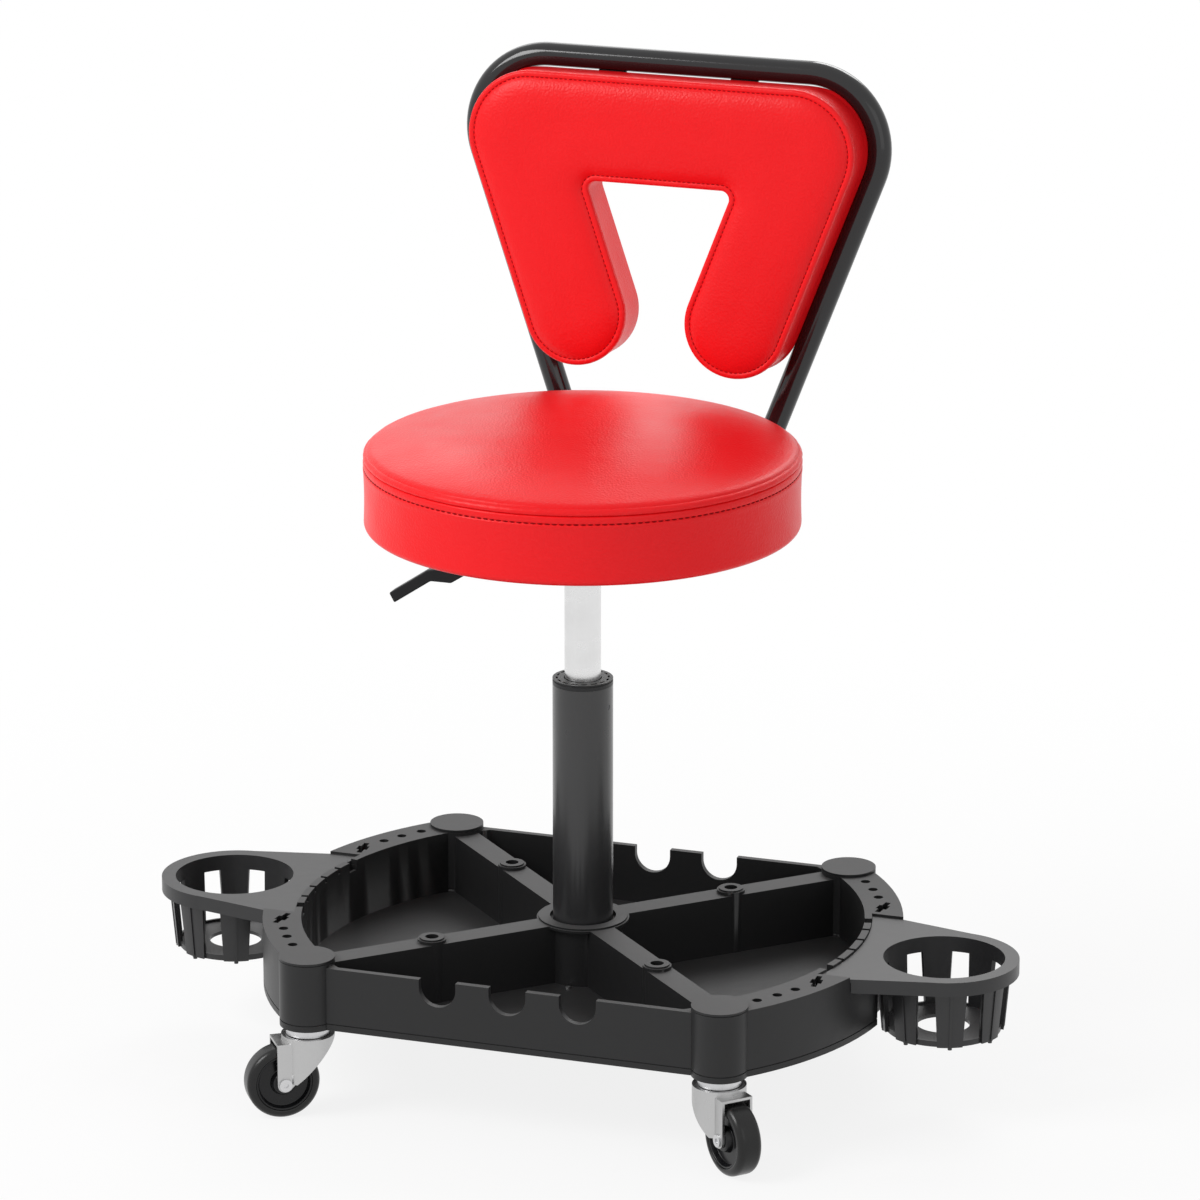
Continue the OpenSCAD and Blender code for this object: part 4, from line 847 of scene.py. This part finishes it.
@dataclass
class Dresser:
    """Gives pieces their material, sets them on their body, and keeps the log."""

    materials: dict[str, bpy.types.Material]

    def dress(
        self,
        piece: bpy.types.Object,
        finish: Finish,
        body: str,
        nodes: Sequence[str] = (),
    ) -> bpy.types.Object:
        """Finishes one new piece.

        Args:
            piece: the piece.
            finish: its finish.
            body: the CAD body that it rides on.
            nodes: CAD nodes that it stands for.

        Returns:
            The piece.
        """
        piece.data.materials.clear()
        piece.data.materials.append(self.materials[finish.name])
        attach(piece, body)
        if nodes:
            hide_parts(*nodes)
        return piece

    def repaint(self, node: str, finish: Finish) -> None:
        """Gives a CAD node that stays as it is its finish.

        Args:
            node: the node.
            finish: the finish.
        """
        shown = frame["nodes"][node]
        if not shown.material_slots:
            shown.data.materials.append(None)
        for slot in shown.material_slots:
            slot.material = self.materials[finish.name]
        LOG.info("%s: finished as %s", node, finish.name)


@dataclass
class SeatCushion:
    """Round cushion: a crowned top panel that rolls over into a sewn crease, a row of stitches
    below it, an upright side band, and a recess below for the board.

    The ripples are the gathers round the seam, each as waves round, phase and height. The sags are
    the wave lengths of the top's soft unevenness along X, along Y and across both, and sag_heights
    are the heights of the wave along X and Y and of the one across.
    """

    radius: float = 178.5
    bottom: float = 470.0
    side: float = 58.0
    crown: float = 24.0
    roll_in: float = 10.5
    roll_rise: float = 9.9
    steep: float = 0.41
    board_radius: float = 164.3
    board_top: float = 12.3
    crease: float = 2.1
    stitch_drop: float = 6.7
    stitch_in: float = 0.45
    draw: float = 0.5
    edge: float = 5.0
    lip: float = 1.0
    gather_height: float = 3.0
    gather_reach: float = 7.0
    gather_from: float = 0.8
    ripples: tuple[tuple[int, float, float], ...] = (
        (61, 1.1, 0.08), (97, 2.3, 0.06), (23, 0.0, 0.12),
    )
    sags: Triple = (31.0, 37.0, 53.0)
    sag_heights: Range = (0.35, 0.25)
    sag_phase: float = 0.7
    sag_drop: float = 0.6
    sag_start: float = 8.0
    dome_steps: int = 45
    roll_steps: int = 5
    band_steps: int = 21
    edge_steps: int = 8
    segments: int = 360
    seam_segments: int = 720
    thread: Thread = Thread(pitch=5.7, length=4.2, thickness=1.3)

    @property
    def seam(self) -> float:
        """Height of the crease over the floor."""
        return self.bottom + self.side

    @property
    def stitches(self) -> float:
        """Height of the row of stitches over the floor."""
        return self.seam - self.stitch_drop

    def top(self) -> np.ndarray:
        """Top panel, as (r, z): with t from 0 at the pole to 1 at the shoulder, it falls by
        (1 - steep) t^2 + steep t^6 of the whole fall."""
        t = np.linspace(0.0, 1.0, self.dome_steps + 1)
        fall = self.crown - self.roll_rise
        steep = self.steep * fall
        dome = self.seam + self.crown - (fall - steep) * t**2 - steep * t**6
        return np.stack([(self.radius - self.roll_in) * t, dome], -1)

    def roll(self) -> np.ndarray:
        """Smooth line over the shoulder, into the crease and on past the stitches, as (r, z)."""
        r, seam, stitches = self.radius, self.seam, self.stitches
        knots = np.array([
            [r - self.roll_in, seam + self.roll_rise], [r - 7.0, seam + 8.7],
            [r - 4.4, seam + 7.3], [r - 3.3, seam + 6.2], [r - 3.0, seam + 5.4],
            [r - 2.1, seam + 5.2], [r - 0.7, seam + 4.2], [r + 0.1, seam + 2.6],
            [r, seam + 1.1], [r - 0.8, seam + 0.25], [r - self.crease, seam - 0.1],
            [r - 0.8, seam - 0.5], [r, seam - 1.3], [r + 0.3, seam - 3.2],
            [r + 0.15, stitches + 1.2], [r - 0.75, stitches], [r + 0.2, stitches - 1.2],
            [r + 0.35, stitches - 2.4], [r, stitches - 5.5],
        ])
        return smooth_line(knots, self.roll_steps)

    def section(self) -> np.ndarray:
        """Section from the crown's pole to the recess's, as (r, z). The band is drawn in by a half
        wave of a sine between its two ends."""
        r, low, roll = self.radius, self.bottom, self.roll()
        t = np.linspace(0.0, 1.0, self.band_steps + 1)[1:]
        band_z = roll[-1, 1] + (low + self.edge - roll[-1, 1]) * t
        band = np.stack([r - self.draw * np.sin(np.pi * t), band_z], -1)
        foot = arc_line([r - self.edge, low + self.edge], self.edge, 0, -90, self.edge_steps)[1:]
        recess = np.array([
            [self.board_radius + self.lip, low], [self.board_radius, low + self.lip],
            [self.board_radius, low + self.board_top], [0.0, low + self.board_top],
        ])
        return np.concatenate([self.top(), roll[1:], band, foot, recess])

    def build(self) -> bpy.types.Object:
        """Turns the section, then adds what sewing does to it: small gathers, as a sum of sines
        round the seam that fades with the distance from it, and a broad soft unevenness of the
        top, as a sum of long sines across it.

        Returns:
            The cushion.
        """
        points, faces = turned(self.section(), self.segments)
        x, y, z = points.T
        r, a = np.hypot(x, y), np.arctan2(y, x)
        over = z - self.seam
        near = np.exp(-((over - self.gather_height) / self.gather_reach) ** 2)
        near *= r > self.radius * self.gather_from
        ripple = sum(height * np.sin(waves * a + phase) for waves, phase, height in self.ripples)
        top = np.clip((over - self.sag_start) / self.sag_start, 0.0, 1.0) * (r < self.radius)
        along_x, along_y, across = self.sags
        soft = self.sag_heights[0] * np.sin(x / along_x + self.sag_phase) * np.cos(y / along_y)
        soft += self.sag_heights[1] * np.sin((x + y) / across)
        grow = 1 + near * ripple / np.maximum(r, 1.0)
        moved = np.stack([x * grow, y * grow, z + top * (soft - self.sag_drop)], -1)
        return make_piece("seat_cover", moved, faces)

    def build_thread(self) -> bpy.types.Object:
        """Row of stitches in their groove below the crease."""
        a = full_turn(self.seam_segments)
        outward = np.stack([np.cos(a), np.sin(a), np.zeros_like(a)], -1)
        line = outward * (self.radius - self.stitch_in) + [0.0, 0.0, self.stitches]
        points, faces = self.thread.along(line, outward)
        return make_piece("seat_stitches", points, [faces])

    def add(self, dresser: Dresser) -> None:
        """Builds and dresses the cushion and its stitches."""
        cover = dresser.dress(
            self.build(), Finishes.vinyl, SEAT_BODY, ["seat_cushion"]
        )
        dresser.dress(self.build_thread(), Finishes.dark_thread, SEAT_BODY)


@dataclass(frozen=True)
class BackPlane:
    """The plane that the backrest's tube and pad lie in."""

    y: float = 230.4
    z: float = 600.0
    tilt: float = 4.7

    def turn(self, u: np.ndarray, v: np.ndarray, w: np.ndarray) -> np.ndarray:
        """Directions of the plane in the object's frame: u stays X, v leans back with the tilt
        and w comes forward square to it."""
        s, c = math.sin(math.radians(self.tilt)), math.cos(math.radians(self.tilt))
        return np.stack([u, v * s - w * c, v * c + w * s], -1)

    def place(self, u: np.ndarray, v: np.ndarray, w: np.ndarray) -> np.ndarray:
        """Points of the plane in the object's frame."""
        return self.turn(u, v, w) + [0.0, self.y, self.z]


@dataclass
class BackrestPad:
    """Notched pad: one band of foam bent over like a wide arch, with round ends.

    The half is half the band's width, half_width half the pad's at the plane's origin, and snug
    the swell of its outer sides against the tube.
    """

    plane: BackPlane = BackPlane()
    half: float = 44.5
    half_width: float = 120.46
    slope: float = 20.2
    top: float = 195.2
    corner: float = 54.3
    foot: float = -51.0
    thickness: float = 46.0
    back: float = 2.8
    crown: float = 5.4
    fillet: float = 7.0
    recess_rim: float = 6.3
    recess: float = 8.3
    seam_in: float = 5.2
    stitch_sink: float = 0.6
    bead_drop: float = 4.2
    snug: float = 1.7
    snug_height: float = 3.2
    snug_spread: float = 2.6
    snug_facing: Range = (0.1, 0.4)
    side_steps: int = 4
    end_steps: int = 40
    corner_steps: int = 22
    leg_steps: int = 26
    thread: Thread = Thread(pitch=4.2, length=3.0, thickness=0.9)

    def side_u(self, v: float, inset: float) -> float:
        """Half width at a height, on a line parallel to the pad's side and inside it."""
        s = math.radians(self.slope)
        return self.half_width + v * math.tan(s) - inset / math.cos(s)

    def outline(self, inset: float) -> np.ndarray:
        """Outline inset by a distance, counter-clockwise as seen from the front. Round ends and
        outer corners are arcs of their own radius less the inset; the notch's corners are arcs of
        the fillet plus the inset; straight runs between them are cut into even steps.

        Args:
            inset: distance in from the edge.

        Returns:
            Array of (u, v) points.
        """
        s, r, f = self.slope, self.half - inset, self.fillet + inset
        end_v, top_v = self.foot + self.half, self.top - self.corner
        end_u, top_u = self.side_u(end_v, self.half), self.side_u(top_v, self.corner)
        fillet_v = self.top - 2 * self.half - self.fillet
        fillet_u = self.side_u(fillet_v, 2 * self.half + self.fillet)
        arcs = [
            arc_line([end_u, end_v], r, 180 - s, 360 - s, self.end_steps),
            arc_line([top_u, top_v], self.corner - inset, -s, 90, self.corner_steps),
            arc_line([-top_u, top_v], self.corner - inset, 90, 180 + s, self.corner_steps),
            arc_line([-end_u, end_v], r, 180 + s, 360 + s, self.end_steps),
            arc_line([-fillet_u, fillet_v], f, 180 + s, 90, self.corner_steps),
            arc_line([fillet_u, fillet_v], f, 90, -s, self.corner_steps),
        ]
        t = np.linspace(0.0, 1.0, self.leg_steps + 2)[1:-1, None]
        runs = [a[-1] + (b[0] - a[-1]) * t for a, b in zip(arcs, arcs[1:] + arcs[:1])]
        return np.concatenate([part for pair in zip(arcs, runs) for part in pair])

    def pressed(self, inset: float, height: float) -> np.ndarray:
        """Outline whose outer sides swell out against the tube near the back, by a bell of the
        height, snug exp(-((height - snug_height) / snug_spread)^2), times a share that falls to
        nothing where the pad's edge turns to face up or in.

        Args:
            inset: distance in from the edge.
            height: height over the pad's back.

        Returns:
            Array of (u, v) points.
        """
        line = self.outline(inset)
        out = self.outline(inset - 1.0) - line
        sideways = np.sign(line[:, :1]) * out[:, :1]
        share = np.clip((sideways - self.snug_facing[0]) / np.ptp(self.snug_facing), 0.0, 1.0)
        bell = math.exp(-(((height - self.snug_height) / self.snug_spread) ** 2))
        return line + out * share * self.snug * bell

    def section(self) -> np.ndarray:
        """Section from the recess's floor round the edge to the face, as (inset, height)."""
        t, c = self.thickness, self.crown
        seam, edge = self.seam_in, t - self.bead_drop
        side = smooth_line(np.array([
            [3.3, 0.0], [2.0, 1.2], [1.8, 4.6], [1.6, 13.8], [1.3, 23.0], [0.7, t * 0.75],
            [0.25, edge - 1.4], [0.3, edge - 0.5], [1.0, edge], [0.2, edge + 0.6],
            [0.0, edge + 1.6], [0.5, t - 1.1], [1.6, t - 0.25], [2.9, t], [seam - 1.0, t - 0.2],
            [seam, t - 0.85], [seam + 0.9, t - 0.05], [seam + 3.0, t + c * 0.24],
            [12.5, t + c * 0.56], [19.0, t + c * 0.8], [28.6, t + c * 0.96], [36.0, t + c],
            [39.6, t + c],
        ]), self.side_steps)
        recess = np.array([[self.recess_rim, self.recess], [self.recess_rim, 0.0]])
        return np.concatenate([recess, side])

    def cap(self, first: int) -> list[np.ndarray]:
        """Faces that close one ring: rungs across the band between its outer and inner edge, and
        at each round end rungs between its two halves, with a triangle at the tip.

        Args:
            first: index of the ring's first point.

        Returns:
            Arrays of quads and of triangles.
        """
        e, c, n = self.end_steps, self.corner_steps, self.leg_steps
        starts = np.cumsum([0, e + 1, n, c + 1, n, c + 1, n, e + 1, n, c + 1, n, c + 1, n])
        total = starts[-1]
        outer = np.arange(starts[1] - 1, starts[6] + 1)
        inner = np.arange(total, starts[7] - 2, -1) % total
        faces = [self.rungs(outer, inner)]
        step = np.arange(e // 2 + 1)
        for end in (starts[0], starts[6]):
            low, high = end + step, end + e - step
            faces.append(self.rungs(low, high)[:-1])
            faces.append(np.array([[low[-2], low[-1], high[-2]]]))
        return [first + f for f in faces]

    @staticmethod
    def rungs(one: np.ndarray, other: np.ndarray) -> np.ndarray:
        """Quads between two equally long rows of indices."""
        return np.stack([one[:-1], one[1:], other[1:], other[:-1]], -1)

    def build(self) -> bpy.types.Object:
        """Rings of the outline at each step of the section, closed by a cap at both ends.

        Returns:
            The pad.
        """
        section = self.section()
        rings = [self.pressed(inset, height) for inset, height in section]
        count = len(rings[0])
        uv = np.concatenate(rings)
        w = np.repeat(self.back + section[:, 1], count)
        points = self.plane.place(uv[:, 0], uv[:, 1], w)
        last = (len(section) - 1) * count
        walls = ladder(len(section), count)
        return make_piece("backrest_cover", points, [walls, *self.cap(0), *self.cap(last)])

    def build_thread(self) -> bpy.types.Object:
        """Row of stitches in the crease round the face."""
        u, v = self.outline(self.seam_in).T
        height = self.back + self.thickness - self.stitch_sink
        line = self.plane.place(u, v, np.full_like(u, height))
        outward = self.plane.turn(np.zeros_like(u), np.zeros_like(u), np.ones_like(u))
        points, faces = self.thread.along(line, outward)
        return make_piece("backrest_stitches", points, [faces])

    def add(self, dresser: Dresser) -> None:
        """Builds and dresses the pad and its stitches."""
        pad = dresser.dress(
            self.build(), Finishes.vinyl, SEAT_BODY, ["backrest_pad"]
        )
        dresser.dress(self.build_thread(), Finishes.thread, SEAT_BODY)


@dataclass
class BackrestTube:
    """One tube from under the seat, up both sides of the pad and across its top."""

    plane: BackPlane = BackPlane()
    radius: float = 10.0
    wall: float = 1.5
    half_width: float = 129.2
    rise: float = 203.4
    slope: float = 20.2
    corner_bend: float = 62.5
    foot_bend: float = 42.0
    foot_z: float = 459.9
    foot_y: float = 30.6
    bend_steps: int = 28
    sides: int = 40

    def corners(self) -> np.ndarray:
        """Corners of the centreline, from the left foot to the right foot."""
        tan_s, tilt = math.tan(math.radians(self.slope)), math.radians(self.plane.tilt)
        drop = (self.foot_z - self.plane.z) / math.cos(tilt)
        leg_x = self.half_width + drop * tan_s
        leg_y = self.plane.y + (self.foot_z - self.plane.z) * math.tan(tilt)
        top_u = self.half_width + self.rise * tan_s
        top = self.plane.place(np.array([-top_u, top_u]), np.full(2, self.rise), np.zeros(2))
        return np.array([
            [-leg_x, self.foot_y, self.foot_z], [-leg_x, leg_y, self.foot_z], *top,
            [leg_x, leg_y, self.foot_z], [leg_x, self.foot_y, self.foot_z],
        ])

    def path(self) -> np.ndarray:
        """Centreline: each inner corner gives way to the arc of its bend's radius that touches
        both runs, o + R (t1 sin a - n cos a), with o the arc's centre, t1 the run's direction and
        n the way to the centre."""
        c = self.corners()
        bends = np.array([self.foot_bend, self.corner_bend, self.corner_bend, self.foot_bend])
        t1, t2 = unit(c[1:-1] - c[:-2]), unit(c[2:] - c[1:-1])
        turn = np.arccos((t1 * t2).sum(-1))
        way = unit(t2 - t1 * (t1 * t2).sum(-1, keepdims=True))
        centre = c[1:-1] - t1 * (bends * np.tan(turn / 2))[:, None] + way * bends[:, None]
        a = turn[:, None] * np.linspace(0.0, 1.0, self.bend_steps + 1)
        arcs = centre[:, None] + bends[:, None, None] * (
            t1[:, None] * np.sin(a)[..., None] - way[:, None] * np.cos(a)[..., None]
        )
        return np.concatenate([c[:1], arcs.reshape(-1, 3), c[-1:]])

    def build(self) -> bpy.types.Object:
        """Outer and inner wall carried along the centreline, joined at both ends.

        Returns:
            The tube.
        """
        path = self.path()
        outer = swept_circle(path, self.radius, self.sides)
        inner = swept_circle(path, self.radius - self.wall, self.sides)
        walls = np.concatenate([outer, inner[::-1]])
        faces = ladder(len(walls), self.sides, ring_rows=True)
        return make_piece("backrest_tube", walls.reshape(-1, 3), [faces])

    def add(self, dresser: Dresser) -> None:
        """Builds and dresses the tube."""
        dresser.dress(
            self.build(), Finishes.paint, SEAT_BODY, ["backrest_frame"]
        )


@dataclass
class Wheel:
    """One wheel: a core with a hub boss and a dished web, and a hard tread round it."""

    corner: Corner
    radius: float = 30.5
    width: float = 21.4
    core_radius: float = 23.485
    bore: float = 4.05
    boss: float = 9.5
    boss_edge: float = 0.8
    hub_half: float = 11.2
    web_half: float = 5.56
    web_slope: float = 1.6
    rim_half: float = 9.95
    rim: float = 1.6
    rim_foot: float = 3.0
    core_round: float = 0.6
    tread_round: float = 5.56
    bead: float = 0.5
    bead_drop: float = 0.15
    tread_steps: int = 12
    segments: int = 96

    def core_section(self) -> np.ndarray:
        """Section of the core, as (r, along the axle), with softened edges."""
        side = np.array([
            [self.bore, self.hub_half], [self.boss - self.boss_edge, self.hub_half],
            [self.boss, self.hub_half - self.boss_edge],
            [self.boss + self.web_slope, self.web_half],
            [self.core_radius - self.rim_foot, self.web_half],
            [self.core_radius - self.rim, self.rim_half], [self.core_radius, self.rim_half],
        ])
        return rounded(np.concatenate([side, side[::-1] * [1, -1]]), self.core_round)

    def tyre_section(self) -> np.ndarray:
        """Section of the tread, as (r, along the axle): a shallow bead at the core, an upright
        wall and a rounded tread."""
        half, r = self.width / 2, self.tread_round
        bead = [self.core_radius + self.bead, half - self.bead_drop]
        upper = np.concatenate([
            [[self.core_radius, self.rim_half], bead],
            arc_line([self.radius - r, half - r], r, 90, 0, self.tread_steps),
        ])
        return np.concatenate([upper, upper[::-1] * [1, -1]])

    def stand(self, points: np.ndarray) -> np.ndarray:
        """Puts a shape turned about Z onto this caster's axle, its axis across the fork."""
        low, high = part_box("axle_" + self.corner.label)
        centre = np.array((low + high) / 2) / MM
        a = math.radians(self.corner.value)
        ahead = np.array([math.cos(a), math.sin(a), 0.0])
        across = np.array([-math.sin(a), math.cos(a), 0.0])
        up = np.array([0.0, 0.0, 1.0])
        return centre + points[:, :1] * ahead + points[:, 1:2] * up + points[:, 2:] * across

    def add(self, dresser: Dresser) -> None:
        """Builds and dresses the core and the tread."""
        label = self.corner.label
        parts = (
            ("core_", self.core_section(), Finishes.wheel, "wheel_core", "wheel_core_"),
            ("tread_", self.tyre_section(), Finishes.tyre, "tyre_black", "tyre_"),
        )
        for name, section, finish, slot, node in parts:
            points, faces = turned_ring(section, self.segments)
            piece = make_piece(name + label, self.stand(points), faces)
            dresser.dress(piece, finish, "wheel_" + label, [node + label])


@dataclass
class SoftenedPart:
    """A CAD node's own shape with its sharp edges broken, as a moulding or a pressing has them."""

    node: str
    finish: Finish
    slot: str
    body: str
    width: float = 0.5
    segments: int = 2
    angle: float = 32.0
    flat_weight: int = 90

    def build(self) -> bpy.types.Object:
        """Copies the node's mesh, merges its loose triangles, joins the flat ones, and bevels the
        edges that are sharper than the angle.

        Returns:
            The softened copy.
        """
        mesh = frame["nodes"][self.node].data.copy()
        mesh.name = self.node + "_soft"
        shell = bmesh.new()
        shell.from_mesh(mesh)
        bmesh.ops.remove_doubles(shell, verts=shell.verts, dist=MERGE_DISTANCE)
        bmesh.ops.dissolve_limit(
            shell,
            angle_limit=math.radians(FLAT_ANGLE),
            verts=shell.verts,
            edges=shell.edges,
            use_dissolve_boundaries=False,
        )
        shell.to_mesh(mesh)
        shell.free()
        mesh.shade_smooth()
        mesh.set_sharp_from_angle(angle=math.radians(self.angle))
        piece = bpy.data.objects.new(mesh.name, mesh)
        bpy.context.scene.collection.objects.link(piece)
        bevel = piece.modifiers.new("broken edges", "BEVEL")
        bevel.width = self.width * MM
        bevel.segments = self.segments
        bevel.limit_method = "ANGLE"
        bevel.angle_limit = math.radians(self.angle)
        bevel.use_clamp_overlap = True
        level = piece.modifiers.new("flat faces", "WEIGHTED_NORMAL")
        level.weight = self.flat_weight
        level.keep_sharp = False
        return piece

    def add(self, dresser: Dresser) -> None:
        """Builds and dresses the copy."""
        dresser.dress(self.build(), self.finish, self.body, [self.node])


@dataclass(frozen=True)
class Lamp:
    """Square soft lamp that looks at the seat, with its place and side in metres and its power in
    watts."""

    AIM: ClassVar[Vector] = Vector((0.0, 0.0, 0.4))

    name: str
    at: Triple
    side: float
    power: float

    def build(self) -> None:
        """Puts the lamp into the scene."""
        data = bpy.data.lights.new(self.name, "AREA")
        data.shape = "SQUARE"
        data.size = self.side
        data.energy = self.power
        lamp = bpy.data.objects.new(self.name, data)
        lamp.location = self.at
        lamp.rotation_euler = (Vector(self.at) - self.AIM).to_track_quat("Z", "Y").to_euler()
        bpy.context.scene.collection.objects.link(lamp)


@dataclass
class Studio:
    """Camera, floor, lamps and world.

    The floor's glow is the white that the camera sees in it near the seat; between the two
    distances of glow_reach, in metres, it grows to plain white.
    """

    azimuth: float = 19.0
    elevation: float = 16.98
    distance: float = 5276.44
    target: Triple = (14.93, 0.0, 406.76)
    lens: float = 193.54
    sensor: float = 36.0
    far: float = 50.0
    floor_radius: float = 6000.0
    floor_sides: int = 96
    floor_white: float = 0.86
    floor_roughness: float = 0.9
    floor_glow: float = 0.85
    glow_reach: Range = (0.5, 1.2)
    sky: float = 0.5
    lamps: tuple[Lamp, ...] = (
        Lamp("key", (-1.9, -1.9, 2.5), 1.5, 62.0),
        Lamp("fill", (2.4, -2.0, 1.6), 2.0, 6.0),
        Lamp("rim", (0.1, 2.5, 2.3), 1.3, 29.0),
        Lamp("rim_left", (-1.2, 2.3, 1.9), 1.2, 6.0),
    )

    def camera(self) -> None:
        """Camera that looks at the target from the azimuth and elevation."""
        a, e = math.radians(self.azimuth), math.radians(self.elevation)
        back = Vector((math.sin(a) * math.cos(e), -math.cos(a) * math.cos(e), math.sin(e)))
        data = bpy.data.cameras.new("camera")
        data.lens = self.lens
        data.sensor_width = self.sensor
        data.clip_end = self.far
        camera = bpy.data.objects.new("camera", data)
        camera.location = (Vector(self.target) + back * self.distance) * MM
        camera.rotation_euler = back.to_track_quat("Z", "Y").to_euler()
        bpy.context.scene.collection.objects.link(camera)
        bpy.context.scene.camera = camera

    def world(self) -> None:
        """Even light from all round, which the camera, gloss and glass see as white."""
        world = bpy.data.worlds.new("studio")
        world.use_nodes = True
        bpy.context.scene.world = world
        tree = world.node_tree
        background = tree.nodes["Background"]
        background.inputs["Color"].default_value = (1.0, 1.0, 1.0, 1.0)
        strength = tree.nodes.new("ShaderNodeMapRange")
        strength.inputs["To Min"].default_value = self.sky
        strength.inputs["To Max"].default_value = 1.0
        tree.links.new(background_ray(tree), strength.inputs["Value"])
        tree.links.new(strength.outputs["Result"], background.inputs["Strength"])

    def floor(self) -> None:
        """Pale round floor. The camera sees part of it as plain white, more so away from the seat,
        so that only a soft shadow stays."""
        a = full_turn(self.floor_sides)
        disc = np.stack([np.cos(a), np.sin(a), np.zeros_like(a)], -1) * self.floor_radius
        floor = make_piece("floor", disc, [np.arange(self.floor_sides)[None]])
        shader = Shader("floor_white")
        shader.surface.inputs["Base Color"].default_value = (self.floor_white,) * 3 + (1.0,)
        shader.surface.inputs["Roughness"].default_value = self.floor_roughness
        shader.surface.inputs["Specular IOR Level"].default_value = 0.0
        reach = shader.tree.nodes.new("ShaderNodeVectorMath")
        reach.operation = "LENGTH"
        shader.join(shader.place, reach.inputs[0])
        shader.glow(shader.span(reach.outputs["Value"], self.glow_reach, (self.floor_glow, 1.0)))
        floor.data.materials.append(shader.material)

    def build(self) -> None:
        """Sets the whole studio up."""
        bpy.context.scene.view_settings.view_transform = "Standard"
        self.camera()
        self.world()
        self.floor()
        for lamp in self.lamps:
            lamp.build()


class Workshop:
    """Builds the whole seat in order."""

    REPAINTED: ClassVar[dict[Finish, tuple[str, ...]]] = {
        Finishes.column: ("column_tube",),
        Finishes.cylinder: ("gas_cylinder",),
        Finishes.rod: ("piston_rod", "release_pin"),
        Finishes.bearing: (
            "bearing_washer_lower", "bearing_balls", "bearing_washer_upper", "caster_balls",
        ),
        Finishes.brass: ("bearing_cage",),
        Finishes.bush: ("column_bush", "rod_guide"),
        Finishes.rubber: ("tube_plugs",),
        Finishes.plywood: ("seat_board", "backrest_board"),
        Finishes.dark_steel: (
            "hub_sleeve", "column_floor", "bush_screws", "piston", "rod_clip", "valve_block",
            "cylinder_socket",
        ),
        Finishes.zinc: (
            "sleeve_screws", "caster_sockets", "caster_stems", "seat_bolts", "tee_nuts",
            "lever_pin", "frame_bolts", "pad_screws",
            *("axle_" + corner.label for corner in Corner),
        ),
    }
    SOFTENED: ClassVar[dict[str, tuple[Finish, str, float]]] = {
        "tray": (Finishes.tray, "tray_plastic", 0.6),
        "cup_holder_left": (Finishes.cup, "tray_plastic", 0.45),
        "cup_holder_right": (Finishes.cup, "tray_plastic", 0.45),
        "column_cap": (Finishes.cap, "cap_plastic", 0.25),
        "seat_plate": (Finishes.paint, "frame_paint", 0.4),
        "lever_arm": (Finishes.paint, "frame_paint", 0.5),
        "lever_grip": (Finishes.lever, "lever_plastic", 1.2),
        "pad_tabs": (Finishes.paint, "frame_paint", 0.4),
    }

    def __init__(self) -> None:
        """Prepares the materials, and looks up the body of each node."""
        self.dresser = Dresser(Finishes.by_name())
        bodies = frame["record"]["behaviour"]["bodies"]
        self.home = {node: body for body, nodes in bodies.items() for node in nodes}

    def build(self) -> None:
        """Builds and dresses every piece."""
        for finish, nodes in self.REPAINTED.items():
            for node in nodes:
                self.dresser.repaint(node, finish)
        for corner in Corner:
            fork = "fork_" + corner.label
            SoftenedPart(fork, Finishes.fork, "fork_zinc", self.home[fork], 0.35).add(self.dresser)
            Wheel(corner).add(self.dresser)
        for node, (finish, slot, width) in self.SOFTENED.items():
            SoftenedPart(node, finish, slot, self.home[node], width).add(self.dresser)
        SeatCushion().add(self.dresser)
        BackrestPad().add(self.dresser)
        BackrestTube().add(self.dresser)


def main() -> None:
    """Builds the studio and the seat."""
    logging.basicConfig(level=logging.INFO, format="%(name)s: %(message)s")
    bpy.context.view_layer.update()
    Studio().build()
    Workshop().build()


if __name__ == "__main__":
    main()
